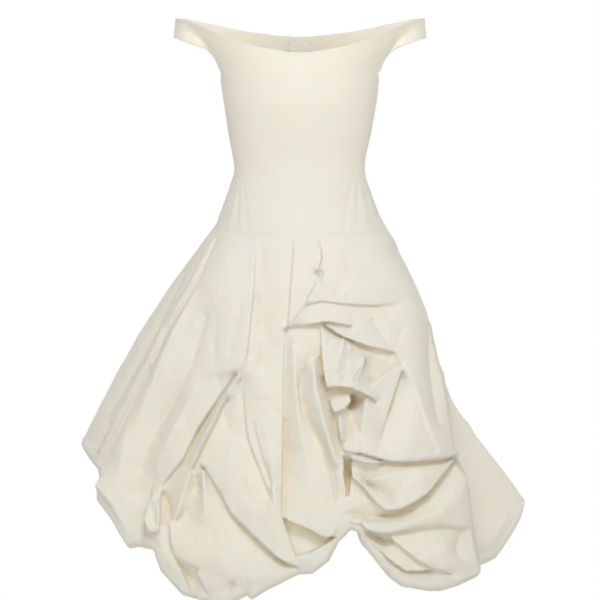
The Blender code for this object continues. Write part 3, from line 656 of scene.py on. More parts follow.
class DressForm:
    """The plain worn form that every piece lies on."""

    def __init__(self, bodice: BodiceSizes, skirt: SkirtSizes) -> None:
        """Keeps the sizes.

        Args:
            bodice: Sizes of the bodice.
            skirt: Sizes of the skirt.
        """
        self.bodice = bodice
        self.skirt = skirt

    def body(self, deg: np.ndarray, z: np.ndarray) -> np.ndarray:
        """A point of the bodice at an angle and height."""
        angle = np.radians(deg)
        across, front = np.sin(angle), np.cos(angle)
        z_mm = z / MM
        table = self.bodice.sections
        half = np.where(across < 0.0, column(table, z_mm, 1), column(table, z_mm, 2))
        depth = np.where(front > 0.0, column(table, z_mm, 3), column(table, z_mm, 4))
        return np.stack([half * across, -depth * front, z + 0.0 * half], axis=-1)

    def hip_z(self, deg: np.ndarray) -> np.ndarray:
        """Height of the hip seam, lower at the centre front."""
        return -0.106 - 0.024 * np.clip(np.cos(np.radians(deg)), 0.0, 1.0) ** 0.6

    def seam_deg(self, z: float) -> float:
        """Angle of a princess seam at a height in metres."""
        rows = np.array(self.bodice.princess, dtype=float)
        return float(np.interp(z / MM, rows[:, 0], rows[:, 1]))

    def yoke(self, side: float, half: np.ndarray, up: np.ndarray, face: Face) -> np.ndarray:
        """A point above underarm height, half from the centre to the strap end, up from edge to neckline."""
        size = self.bodice
        seam = 0.5
        inner = np.clip(half / seam, 0.0, 1.0)
        outer = np.clip((half - seam) / (1.0 - seam), 0.0, 1.0)
        degrees = inner * size.princess_top
        front = face is Face.FRONT
        if not front:
            degrees = 180.0 - degrees
        low = self.body(degrees * side, np.full_like(half, size.underarm_z))
        depth = size.front_depth if front else size.back_depth
        sign = -1.0 if front else 1.0
        seam_top = size.princess_top if front else 180.0 - size.princess_top
        seam_y = self.body(np.array([seam_top]), np.array([size.underarm_z]))[0, 1]
        edge_x = column(size.strap_edge, outer, 1)
        edge_y = sign * np.maximum(abs(seam_y) * (1.0 - outer), column(size.edge_depth, outer, 1))
        edge = np.stack([side * edge_x, edge_y, column(size.strap_edge, outer, 2)], axis=-1)
        low = np.where((half > seam)[..., None], edge, low)
        turn = half * math.pi / 2.0
        neck_z = column(size.neckline, np.sin(turn), 1 if front else 2)
        neck = np.stack([side * size.strap_half_span * np.sin(turn), sign * depth * np.cos(turn), neck_z], axis=-1)
        up = up[..., None]
        return low * (1.0 - up) + neck * up

    def rib(self, face: Face, deg: np.ndarray, share: np.ndarray) -> np.ndarray:
        """A point of the plain skirt, share from the hip seam to the hem."""
        size = self.skirt
        table = size.front_ribs if face is Face.FRONT else size.back_ribs
        top = self.body(deg, self.hip_z(deg))
        low = np.stack([column(table, deg, 1), column(table, deg, 3), column(table, deg, 2)], axis=-1)
        way = share[..., None]
        point = top * (1.0 - way) + low * way
        side = np.sin(np.radians(deg))
        turn = np.cos(np.radians(deg))
        round_out = np.sin(math.pi * np.clip(share, 0.0, 1.0) ** 0.8)
        point[..., 1] += -np.sign(turn) * np.abs(turn) ** 0.7 * size.bulge * round_out
        right = column(size.right_bow, share, 1)
        tail = smooth(deg, 90.0, 106.0)
        left = column(size.drape_bow, share, 1) * (1.0 - tail) + column(size.tail_bow, share, 1) * tail
        point[..., 0] += np.where(side < 0.0, -right, left) * np.abs(side) ** 3
        return point

    def skirt_point(self, face: Face, relief: Relief, deg: np.ndarray, run: np.ndarray,
                    inset: float | np.ndarray = 0.0) -> tuple[np.ndarray, np.ndarray]:
        """Draped cloth and its outward direction.

        Args:
            face: Front or back.
            relief: The draping.
            deg: Degrees round at the hip.
            run: 0 to 1 down the skirt, 1 to 2 round the hem and up inside.
            inset: How far the piece lies behind, in metres.

        Returns:
            Points and outward directions.
        """
        size = self.skirt
        share = np.clip(run, 0.0, 1.0)
        step = 0.004
        point = self.rib(face, deg, share)
        down = self.rib(face, deg, share + step) - self.rib(face, deg, share - step)
        round_way = self.rib(face, deg + 4.0, share) - self.rib(face, deg - 4.0, share)
        normal = unit(np.cross(down, round_way))
        down = unit(down)
        level = unit(normal * np.array([1.0, 1.0, 0.0]))
        edge = smooth(np.abs(np.cos(np.radians(deg))), 0.0, 0.2)
        normal[..., 1] *= edge
        level[..., 1] *= edge
        early = (1.0 - smooth(run, 0.0, 0.12))[..., None]
        normal = unit(normal * (1.0 - early) + level * early)
        x, z = point[..., 0], point[..., 2]
        fade = smooth(run, 0.0, 0.05) * (1.0 - 0.6 * smooth(run, 0.95, 1.0)) * (1.0 - smooth(run, 1.0, 1.5))
        held = (1.0 - smooth(np.abs(np.cos(np.radians(deg))), 0.0, 0.16)) * (1.0 - smooth(run, 0.2, 0.4))
        fade = fade * (1.0 - held)
        lift = relief.at(x, z) * fade
        bend = crumple(x, z, 0.16, 23) * 0.05
        broad = crumple(x + bend + 0.25 * z, z * 0.6 - bend, 0.075, 3) * 0.0075
        broad += crumple(x - 0.3 * z + bend, z * 0.8, 0.044, 29) * 0.0036
        fine = crumple(x + 0.2 * z + bend, z, 0.026, 7) * 0.0017 + crumple(x - 0.4 * z, z + bend, 0.014, 11) * 0.0008
        fine += broad * smooth(run, 0.08, 0.45)
        crisp = smooth(x, 0.12, 0.22) * smooth(-z, 0.1, 0.2)
        fine += crumple(x + 0.5 * z, z, 0.009, 17) * 0.0006 * (0.35 + crisp)
        lift = lift + fine * smooth(run, 0.0, 0.1) * (1.0 - 0.75 * smooth(np.abs(np.sin(np.radians(deg))), 0.8, 1.0))
        turn = np.clip((run - 1.0) / 0.6, 0.0, 1.0) * math.pi
        back = np.clip((run - 1.6) / 0.4, 0.0, 1.0)
        start = smooth(run, 0.9, 1.0) * size.hem_roll
        point = point - down * start[..., None]
        point = point - normal * (size.hem_roll * (1.0 - np.cos(turn)))[..., None]
        point = point + down * (size.hem_roll * np.sin(turn) - size.hem_return * back)[..., None]
        outward = normal * np.cos(turn)[..., None] + down * np.sin(turn)[..., None]
        view = np.zeros_like(normal)
        view[..., 1] = -1.0 if face is Face.FRONT else 1.0
        aside = smooth(np.abs(np.sin(np.radians(deg))), 0.62, 0.96)[..., None]
        push = unit(normal * aside + view * (1.0 - aside))
        point = point + push * lift[..., None] - normal * (inset + 0.0 * run)[..., None]
        inside = smooth(np.abs(np.sin(np.radians(deg))), 0.8, 1.0)
        return point + relief.shift(x, z) * (fade * (1.0 - inside))[..., None], outward


@dataclass(frozen=True)
class ClothFinish:
    """A woven cloth.

    Attributes:
        name: Material name.
        colour: Lit colour of the cloth, sRGB hex.
        shade: Colour of the darker threads, sRGB hex.
        roughness: Roughness of the face.
        thread: Spacing of the threads, in metres.
        weave: Height of the weave bump, in metres.
        crush: Height of the fine crush bump, in metres.
        glow: How much light passes through the cloth.
    """

    name: str
    colour: str
    shade: str
    roughness: float
    thread: float
    weave: float
    crush: float
    glow: float = 0.0


@dataclass(frozen=True)
class MetalFinish:
    """A lacquered metal."""

    name: str
    colour: str
    roughness: float


TAFFETA = ClothFinish("cream_cotton_taffeta", "F4EEE1", "EDE5D3", 0.7, 0.00045, 0.00006, 0.0006, 0.35)
TAPE = ClothFinish("cream_label_tape", "F6F3E9", "EDE8DA", 0.5, 0.0003, 0.00004, 0.0001)
THREAD = ClothFinish("cream_sewing_thread", "EFE8D4", "E4DCC6", 0.6, 0.0002, 0.00003, 0.0)
TACK = ClothFinish("grey_tacking_thread", "A39D90", "8E887B", 0.6, 0.0002, 0.00003, 0.0)
ZIP_METAL = MetalFinish("cream_lacquered_zip", "E6E0CF", 0.35)


def add(tree: bpy.types.NodeTree, kind: str, **inputs: object) -> bpy.types.Node:
    """Adds a node and sets its inputs or properties.

    Args:
        tree: The node tree.
        kind: Node type.
        **inputs: Names with _ for a space; a socket value, or a property of the node.

    Returns:
        The node.
    """
    node = tree.nodes.new(kind)
    for name, value in inputs.items():
        socket = node.inputs.get(name.replace("_", " "))
        if socket is None:
            setattr(node, name, value)
        elif isinstance(value, bpy.types.NodeSocket):
            tree.links.new(value, socket)
        else:
            socket.default_value = value
    return node


def cloth_material(finish: ClothFinish) -> bpy.types.Material:
    """Crisp plain-weave cloth with slubs, a fine crush, a soft sheen and warm shade painted into the deep folds.

    Args:
        finish: What the cloth is.

    Returns:
        The material.
    """
    made = bpy.data.materials.new(finish.name)
    made.use_nodes = True
    tree = made.node_tree
    shader = tree.nodes["Principled BSDF"]
    shader.inputs["Roughness"].default_value = finish.roughness
    shader.inputs["Specular IOR Level"].default_value = 0.32
    shader.inputs["Subsurface Weight"].default_value = finish.glow
    shader.inputs["Subsurface Radius"].default_value = (1.0, 0.72, 0.36)
    shader.inputs["Subsurface Scale"].default_value = 0.006
    shader.inputs["Sheen Weight"].default_value = 0.12
    shader.inputs["Sheen Roughness"].default_value = 0.45
    shader.inputs["Sheen Tint"].default_value = linear("FFF8E6")
    place = tree.nodes.new("ShaderNodeTexCoord")
    uv, solid = place.outputs["UV"], place.outputs["Object"]
    slub = add(tree, "ShaderNodeTexNoise", Vector=uv, Scale=0.22 / finish.thread, Detail=3.0, Roughness=0.6)
    cloud = add(tree, "ShaderNodeTexNoise", Vector=solid, Scale=9.0, Detail=2.0)
    mix = add(tree, "ShaderNodeMixRGB", Fac=slub.outputs["Fac"], Color1=linear(finish.colour), Color2=linear(finish.shade))
    tone = add(tree, "ShaderNodeMapRange", Value=cloud.outputs["Fac"])
    tone.inputs["To Min"].default_value = 0.985
    tone.inputs["To Max"].default_value = 1.01
    colour = add(tree, "ShaderNodeVectorMath", operation="MULTIPLY")
    tree.links.new(mix.outputs["Color"], colour.inputs[0])
    tree.links.new(tone.outputs["Result"], colour.inputs[1])
    # Painted shade: a warm, darker tone mixed into the base colour where the cloth lies deep in a fold, standing in for
    # the shaded, bounced light there.
    depth = add(tree, "ShaderNodeAttribute", attribute_name="fold_shade_paint")
    share = add(tree, "ShaderNodeMath", operation="MULTIPLY")
    tree.links.new(depth.outputs["Fac"], share.inputs[0])
    share.inputs[1].default_value = 0.6
    painted_fold_shade = add(tree, "ShaderNodeMixRGB", Fac=share.outputs["Value"], Color1=colour.outputs["Vector"],
               Color2=linear("EFD08E"))
    tree.links.new(painted_fold_shade.outputs["Color"], shader.inputs["Base Color"])
    warp = add(tree, "ShaderNodeTexWave", Vector=uv, Scale=0.5 / finish.thread / math.pi, Distortion=0.6,
               bands_direction="X")
    weft = add(tree, "ShaderNodeTexWave", Vector=uv, Scale=0.5 / finish.thread / math.pi, Distortion=0.6,
               bands_direction="Y")
    weave = add(tree, "ShaderNodeMath", operation="MULTIPLY")
    tree.links.new(warp.outputs["Fac"], weave.inputs[0])
    tree.links.new(weft.outputs["Fac"], weave.inputs[1])
    bump = add(tree, "ShaderNodeBump", Height=weave.outputs["Value"], Strength=0.5, Distance=finish.weave)
    crush = add(tree, "ShaderNodeTexVoronoi", Vector=solid, Scale=26.0, feature="DISTANCE_TO_EDGE")
    wave = add(tree, "ShaderNodeTexNoise", Vector=solid, Scale=30.0, Detail=4.0, Roughness=0.55)
    soft = add(tree, "ShaderNodeMapRange", Value=crush.outputs["Distance"])
    soft.inputs["From Max"].default_value = 0.18
    blend = add(tree, "ShaderNodeMath", operation="MULTIPLY_ADD")
    tree.links.new(soft.outputs["Result"], blend.inputs[0])
    blend.inputs[1].default_value = 0.35
    tree.links.new(wave.outputs["Fac"], blend.inputs[2])
    rough = add(tree, "ShaderNodeBump", Height=blend.outputs["Value"], Strength=0.6, Distance=finish.crush,
                Normal=bump.outputs["Normal"])
    tree.links.new(rough.outputs["Normal"], shader.inputs["Normal"])
    return made


def metal_material(finish: MetalFinish) -> bpy.types.Material:
    """Lacquered metal with a fine grain.

    Args:
        finish: What the metal is.

    Returns:
        The material.
    """
    made = bpy.data.materials.new(finish.name)
    made.use_nodes = True
    tree = made.node_tree
    shader = tree.nodes["Principled BSDF"]
    shader.inputs["Metallic"].default_value = 0.6
    place = tree.nodes.new("ShaderNodeTexCoord")
    grain = add(tree, "ShaderNodeTexNoise", Vector=place.outputs["Object"], Scale=1200.0, Detail=2.0)
    tint = add(tree, "ShaderNodeMixRGB", Fac=grain.outputs["Fac"], Color1=linear(finish.colour), Color2=linear("D9D2BE"))
    tree.links.new(tint.outputs["Color"], shader.inputs["Base Color"])
    rough = add(tree, "ShaderNodeMapRange", Value=grain.outputs["Fac"])
    rough.inputs["To Min"].default_value = finish.roughness - 0.06
    rough.inputs["To Max"].default_value = finish.roughness + 0.1
    tree.links.new(rough.outputs["Result"], shader.inputs["Roughness"])
    return made


@dataclass(frozen=True)
class Tuck:
    """A soft pressed line on the bodice, in the front view and in mm."""

    x0: float
    z0: float
    x1: float
    z1: float
    half_width: float
    lift: float


BODICE_TUCKS = (
    Tuck(-122, -24, -142, -118, 3.4, 1.8),
    Tuck(-119, -20, -128, -120, 2.6, -1.6),
    Tuck(-117, -18, -118, -122, 3.0, 2.0),
    Tuck(-113, -22, -106, -122, 2.8, -1.6),
    Tuck(-109, -28, -92, -124, 4.0, 1.4),
    Tuck(-98, -46, -64, -112, 5.0, -0.9),
    Tuck(104, -18, 88, -124, 3.0, -1.6),
    Tuck(110, -14, 102, -124, 3.2, 2.0),
    Tuck(114, -16, 116, -122, 2.6, -1.5),
    Tuck(120, -18, 134, -120, 3.4, 1.7),
    Tuck(126, -22, 150, -116, 3.0, -1.2),
    Tuck(120, -20, 132, -4, 3.0, 0.9),
    Tuck(-220, 300, -224, 262, 2.6, -1.0),
    Tuck(-206, 292, -214, 254, 3.2, 0.8),
    Tuck(-172, 250, -138, 196, 6.0, -1.2),
    Tuck(-190, 276, -150, 214, 5.0, 0.9),
    Tuck(222, 300, 226, 262, 2.6, -1.0),
    Tuck(206, 292, 214, 254, 3.2, 0.8),
    Tuck(172, 252, 136, 200, 6.0, -1.2),
    Tuck(196, 280, 150, 220, 5.0, 0.9),
    Tuck(-148, 176, -138, 30, 3.0, -0.6),
    Tuck(146, 176, 136, 30, 3.0, -0.6),
)


def tucked(x: np.ndarray, z: np.ndarray) -> np.ndarray:
    """Height of the pressed lines.

    Args:
        x: Across, in metres.
        z: Up, in metres.

    Returns:
        Heights in metres.
    """
    total = np.zeros_like(x)
    for tuck in BODICE_TUCKS:
        start = np.array([tuck.x0, tuck.z0]) * MM
        along = np.array([tuck.x1, tuck.z1]) * MM - start
        length = float(np.hypot(*along))
        along = along / length
        way = ((x - start[0]) * along[0] + (z - start[1]) * along[1]) / length
        off = (x - start[0]) * -along[1] + (z - start[1]) * along[0]
        ends = smooth(way, -0.05, 0.35) * (1.0 - smooth(way, 0.85, 1.1))
        total += tuck.lift * MM * ends * np.exp(-((off / (tuck.half_width * MM)) ** 2))
    return total


class Cloth:
    """Turns sheets of points into closed cloth pieces."""

    def __init__(self, look: bpy.types.Material, wall: float) -> None:
        """Keeps the material and thickness.

        Args:
            look: Material of the cloth.
            wall: Thickness, in metres.
        """
        self.look = look
        self.wall = wall

    def piece(self, name: str, points: np.ndarray, outward: np.ndarray, flip: bool = False,
              keep: np.ndarray | None = None, fold_shade_mask: np.ndarray | None = None) -> bpy.types.Object:
        """Makes a closed shell from a grid whose rows run down and columns run to the wearer's left.

        Args:
            name: Name of the object.
            points: Grid of points of the face.
            outward: Grid of outward directions.
            flip: True where the columns run the other way.
            keep: Grid of cells that hold cloth; all of them by default.
            fold_shade_mask: Grid of how deep each point lies in a fold, kept as the mask for painted warm shade; none
                by default.

        Returns:
            The object.
        """
        rows, columns = points.shape[:2]
        index = np.arange(rows * columns).reshape(rows, columns)
        cells = np.stack([index[:-1, :-1], index[1:, :-1], index[1:, 1:], index[:-1, 1:]], axis=-1)
        cells = cells[keep] if keep is not None else cells.reshape(-1, 4)
        if flip:
            cells = cells[:, ::-1]
        across = np.concatenate([np.zeros((rows, 1)), np.cumsum(np.linalg.norm(np.diff(points, axis=1), axis=-1), axis=1)], axis=1)
        across -= across.mean(axis=1, keepdims=True)
        along = np.concatenate([np.zeros((1, columns)), np.cumsum(np.linalg.norm(np.diff(points, axis=0), axis=-1), axis=0)], axis=0)
        uv = np.stack([across, -along], axis=-1).reshape(-1, 2)
        flat = points.reshape(-1, 3)
        inner = flat - outward.reshape(-1, 3) * self.wall
        used = np.unique(cells)
        place = np.full(rows * columns, -1)
        place[used] = np.arange(len(used))
        sheet = place[cells]
        count = len(used)
        edges = np.concatenate([sheet[:, [0, 1]], sheet[:, [1, 2]], sheet[:, [2, 3]], sheet[:, [3, 0]]])
        forward = edges[:, 0] * count + edges[:, 1]
        backward = edges[:, 1] * count + edges[:, 0]
        rim = edges[~np.isin(forward, backward)]
        sides = np.stack([rim[:, 1], rim[:, 0], rim[:, 0] + count, rim[:, 1] + count], axis=-1)
        faces = np.concatenate([sheet, sheet[:, ::-1] + count, sides])
        vertices = np.concatenate([flat[used], inner[used]])
        obj = mesh_object(name, vertices, faces, np.concatenate([uv[used], uv[used]]))
        ends = np.empty(len(obj.data.edges) * 2, dtype=np.int32)
        obj.data.edges.foreach_get("vertices", ends)
        ends = np.sort(ends.reshape(-1, 2), axis=1)
        borders = np.sort(np.concatenate([rim, rim + count]), axis=1)
        total = count * 2
        sharp = np.isin(ends[:, 0].astype(np.int64) * total + ends[:, 1], borders[:, 0] * total + borders[:, 1])
        obj.data.edges.foreach_set("use_edge_sharp", sharp)
        # Stores the fold mask, by which the material paints warm shade into the folds.
        if fold_shade_mask is not None:
            depth = obj.data.attributes.new("fold_shade_paint", "FLOAT", "POINT")
            depth.data.foreach_set("value", np.tile(fold_shade_mask.reshape(-1)[used], 2).astype(np.float32))
        obj.data.materials.append(self.look)
        return obj


def welted(points: np.ndarray, outward: np.ndarray, edges: str, width: float = 0.0014,
           sink: float = 0.0004, until: float = 1.0) -> tuple[np.ndarray, np.ndarray]:
    """Turns the cloth in along its seams, so that a join shows as a fine valley.

    Args:
        points: Grid of points.
        outward: Grid of outward directions.
        edges: Letters of the edges that are seams: t, b, l and r.
        width: Width of the turn, in metres.
        sink: How deep the seam lies, in metres.
        until: Share of a side seam that is turned in, from its top.

    Returns:
        The grid and its directions with a row or column more at each seam.
    """
    for edge in edges:
        grids = [points, outward]
        if edge in "lr":
            grids = [grid.swapaxes(0, 1) for grid in grids]
        if edge in "br":
            grids = [grid[::-1] for grid in grids]
        place, way = grids
        gap = np.linalg.norm(place[1] - place[0], axis=-1, keepdims=True)
        share = np.minimum(0.8, width / np.maximum(gap, 1e-6))
        line = place[:1] * (1.0 - share) + place[1:2] * share
        depth = np.full(place.shape[1], sink)
        if edge in "lr" and until < 1.0:
            depth *= 1.0 - smooth(np.linspace(0.0, 1.0, place.shape[1]), until - 0.08, until)
        low = place[:1] - way[:1] * depth[None, :, None]
        grids = [np.concatenate([low, line, place[1:]]), np.concatenate([way[:1], way])]
        if edge in "br":
            grids = [grid[::-1] for grid in grids]
        if edge in "lr":
            grids = [grid.swapaxes(0, 1) for grid in grids]
        points, outward = grids
    return points, outward


def mesh_object(name: str, vertices: np.ndarray, faces: np.ndarray, uv: np.ndarray) -> bpy.types.Object:
    """Makes a mesh object from quads.

    Args:
        name: Name of the object.
        vertices: Points in metres.
        faces: Corners of each quad.
        uv: Cloth coordinates of each point, in metres.

    Returns:
        The object, linked to the scene.
    """
    mesh = bpy.data.meshes.new(name)
    mesh.vertices.add(len(vertices))
    mesh.vertices.foreach_set("co", vertices.astype(np.float32).ravel())
    mesh.loops.add(len(faces) * 4)
    mesh.loops.foreach_set("vertex_index", faces.astype(np.int32).ravel())
    mesh.polygons.add(len(faces))
    mesh.polygons.foreach_set("loop_start", np.arange(0, len(faces) * 4, 4, dtype=np.int32))
    mesh.polygons.foreach_set("use_smooth", np.ones(len(faces), dtype=bool))
    mesh.update(calc_edges=True)
    layer = mesh.uv_layers.new(name="cloth")
    layer.data.foreach_set("uv", uv[faces.ravel()].astype(np.float32).ravel())
    mesh.validate()
    obj = bpy.data.objects.new(name, mesh)
    bpy.context.scene.collection.objects.link(obj)
    return obj


class Bodice:
    """The seven bodice panels."""

    def __init__(self, form: DressForm, cloth: Cloth) -> None:
        """Keeps the form and the cloth.

        Args:
            form: The worn form.
            cloth: What makes the pieces.
        """
        self.form = form
        self.cloth = cloth
        self.size = form.bodice

    def level(self, points: np.ndarray, step: np.ndarray) -> np.ndarray:
        """Level outward directions from the way round the body."""
        normal = np.stack([step[..., 1], -step[..., 0], 0.0 * step[..., 0]], axis=-1)
        flip = np.sign(np.sum(normal[..., :2] * points[..., :2], axis=-1, keepdims=True))
        return unit(normal * flip)

    def middle(self, side: float, face: Face, start: float, rows: int = 60, columns: int = 34,
               yoke_rows: int = 16, strap_columns: int = 34) -> tuple[np.ndarray, np.ndarray, np.ndarray]:
        """Half of a centre panel with its strap: points, directions and cells that hold cloth."""
        size, form = self.size, self.form
        top = size.princess_top
        share = np.linspace(0.0, 1.0, columns)
        centre = start / top * 0.5
        half = np.concatenate([centre + (0.5 - centre) * share, np.linspace(0.5, 1.0, strap_columns + 1)[1:]])
        half[-1] -= size.seam_gap / 2.0 / 0.25
        points, outward = [], []
        for row in range(yoke_rows):
            up = np.full_like(half, 1.0 - row / (yoke_rows - 1))
            line = form.yoke(side, half, up, face)
            step = form.yoke(side, np.minimum(half + 0.01, 1.02), up, face) - form.yoke(side, half - 0.01, up, face)
            rise = form.yoke(side, half, up * 0.0 + 1.0, face) - form.yoke(side, half, up * 0.0, face)
            normal = unit(np.cross(step, rise)) * side * (1.0 if face is Face.FRONT else -1.0)
            normal[-1] = np.array([side, 0.0, 0.0])
            points.append(line)
            outward.append(normal)
        for row in range(1, rows + 1):
            way = row / rows
            edge = form.seam_deg(size.underarm_z + (-0.120 - size.underarm_z) * way)
            deg = np.concatenate([start + (edge - start) * share, np.full(strap_columns, edge)])
            if face is Face.BACK:
                deg = 180.0 - deg
            z = size.underarm_z + (form.hip_z(deg) + size.seam_gap / 2.0 - size.underarm_z) * way
            points.append(form.body(deg * side, z))
            outward.append(self.level(points[-1], form.body((deg + 1.0) * side, z) - form.body((deg - 1.0) * side, z)))
        keep = np.ones((yoke_rows + rows - 1, columns + strap_columns - 1), dtype=bool)
        keep[yoke_rows - 1 :, columns - 1 :] = False
        return np.array(points), np.array(outward), keep

    def eased(self, points: np.ndarray, outward: np.ndarray) -> np.ndarray:
        """Adds the slight ripple of cloth under tension."""
        x, z = points[..., 0], points[..., 2]
        ripple = crumple(x + 0.7 * z, z, 0.045, 3) * 0.0008 + crumple(x, z * 2.2, 0.012, 5) * 0.0002
        ripple += np.where(points[..., 1] < 0.0, tucked(x, z), 0.0)
        return points + outward * ripple[..., None]

    def front(self) -> bpy.types.Object:
        """Centre front panel with both strap fronts."""
        right = self.middle(Side.RIGHT.value, Face.FRONT, 0.0)
        left = self.middle(Side.LEFT.value, Face.FRONT, 0.0)
        points = np.concatenate([right[0][:, :0:-1], left[0]], axis=1)
        outward = np.concatenate([right[1][:, :0:-1], left[1]], axis=1)
        keep = np.concatenate([right[2][:, ::-1], left[2]], axis=1)
        return self.cloth.piece("bodice_front_cloth", self.eased(points, outward), outward, keep=keep)

    def back(self, side: Side) -> bpy.types.Object:
        """One back panel."""
        start = math.degrees(self.size.seam_gap / 2.0 / 0.100)
        points, outward, keep = self.middle(side.value, Face.BACK, start)
        name = f"bodice_back_{side.name.lower()}_cloth"
        return self.cloth.piece(name, self.eased(points, outward), outward, side is Side.LEFT, keep)

    def side(self, side: Side, face: Face, rows: int = 70, columns: int = 26) -> bpy.types.Object:
        """One side panel, from a princess seam to the side seam."""
        size, form = self.size, self.form
        gap = math.degrees(size.seam_gap / 2.0 / 0.130)
        points, outward = [], []
        for row in range(rows + 1):
            way = row / rows
            edge = form.seam_deg(size.underarm_z + (-0.120 - size.underarm_z) * way)
            if face is Face.FRONT:
                deg = np.linspace(edge + gap * 2.0, 90.0 - gap, columns)
            else:
                edge = 180.0 - edge
                deg = np.linspace(90.0 + gap, edge - gap * 2.0, columns)
            dip = size.armhole_dip * np.sqrt(np.clip(1.0 - ((deg - 90.0) / (edge - 90.0)) ** 2, 0.0, 1.0))
            top = size.underarm_z - dip
            z = top + (form.hip_z(deg) + size.seam_gap / 2.0 - top) * way
            line = form.body(deg * side.value, z)
            points.append(line)
            outward.append(self.level(line, form.body((deg + 1.0) * side.value, z) - form.body((deg - 1.0) * side.value, z)))
        name = f"bodice_side_{face.value}_{side.name.lower()}_cloth"
        points, outward = np.array(points), np.array(outward)
        points, outward = welted(self.eased(points, outward), outward, "lrb")
        return self.cloth.piece(name, points, outward, side is Side.RIGHT)


@dataclass(frozen=True)
class Panel:
    """One skirt panel: its node, face, angles at the hip, mesh size and how much of its seams shows."""

    node: str
    face: Face
    low: float
    high: float
    columns: int
    rows: int
    seam_seen: float


PANELS = (
    Panel("skirt_front_right", Face.FRONT, -90.0, -30.0, 190, 210, 0.34),
    Panel("skirt_front_centre", Face.FRONT, -30.0, 13.0, 150, 270, 0.10),
    Panel("skirt_drape_left", Face.FRONT, 13.0, 90.0, 170, 262, 0.10),
    Panel("skirt_back_left", Face.BACK, 135.0, 180.0, 70, 130, 1.0),
    Panel("skirt_back_right", Face.BACK, 180.0, 270.0, 130, 130, 1.0),
)


class Skirt:
    """The six skirt panels."""

    def __init__(self, form: DressForm, cloth: Cloth, front: Relief, back: Relief) -> None:
        """Keeps the form, the cloth and both draped faces.

        Args:
            form: The worn form.
            cloth: What makes the pieces.
            front: Draping of the front.
            back: Draping of the back.
        """
        self.form = form
        self.cloth = cloth
        self.relief = {Face.FRONT: front, Face.BACK: back}
        self.gap = math.degrees(form.skirt.seam_gap / 2.0 / 0.125)

    def runs(self, rows: int) -> np.ndarray:
        """Rows from the hip seam to the hem edge inside."""
        return np.concatenate([np.linspace(0.0, 1.0, rows), np.linspace(1.0, 1.6, 15)[1:], np.linspace(1.6, 2.0, 7)[1:]])

    def panel(self, plan: Panel) -> bpy.types.Object:
        """Makes one panel.

        Args:
            plan: Which panel.

        Returns:
            The cloth object.
        """
        deg = np.linspace(plan.low + self.gap, plan.high - self.gap, plan.columns)
        grid_deg, grid_run = np.meshgrid(deg, self.runs(plan.rows))
        points, outward = self.form.skirt_point(plan.face, self.relief[plan.face], grid_deg, grid_run)
        points[0, :, 2] -= self.form.skirt.seam_gap / 2.0
        points, outward = welted(points, outward, "tlr", until=plan.seam_seen)
        # Mask for the warm shade painted into the deep folds of the panel.
        fold_shade_mask = self.relief[plan.face].fold_shade_mask(points[..., 0], points[..., 2])
        return self.cloth.piece(plan.node + "_cloth", points, outward, fold_shade_mask=fold_shade_mask)

    def tail(self, columns: int = 110, rows: int = 180) -> bpy.types.Object:
        """The side panel that comes out from under the drape."""
        low, high = 76.0, 135.0
        grid_share, grid_run = np.meshgrid(np.linspace(0.0, 1.0, columns), self.runs(rows))
        start = 90.0 - (90.0 - low) * smooth(grid_run, 0.50, 0.72) + self.gap
        grid_deg = start + (high - self.gap - start) * grid_share
        inset = self.form.skirt.tail_inset * smooth(grid_run, 0.12, 0.62) * (1.0 - smooth(grid_deg, 92.0, 110.0))
        points, outward = self.form.skirt_point(Face.BACK, self.relief[Face.BACK], grid_deg, grid_run, inset)
        points[0, :, 2] -= self.form.skirt.seam_gap / 2.0
        points, outward = welted(points, outward, "tr")
        return self.cloth.piece("skirt_tail_left_cloth", points, outward)


@dataclass(frozen=True)
class Cut:
    """What a piece was cut to before it was sewn and draped.

    Attributes:
        node: CAD node of the piece.
        width: Widest across, in metres.
        length: Longest down, in metres.
        area: Flat area, in square metres.
        held: How the worn piece is held.
        hangs_from: Nodes that it is sewn to above.
    """

    node: str
    width: float
    length: float
    area: float
    held: str
    hangs_from: tuple = ()


@dataclass(frozen=True)
class StitchSizes:
    """A row of machine stitches, in metres.

    Attributes:
        pitch: From one stitch to the next.
        length: Length of one stitch.
        radius: Radius of the thread.
        inset: Distance of the row from the seam.
        proud: Height of the thread's middle over the cloth.
    """

    pitch: float = 0.0032
    length: float = 0.0025
    radius: float = 0.00022
    inset: float = 0.0022
    proud: float = 0.0001


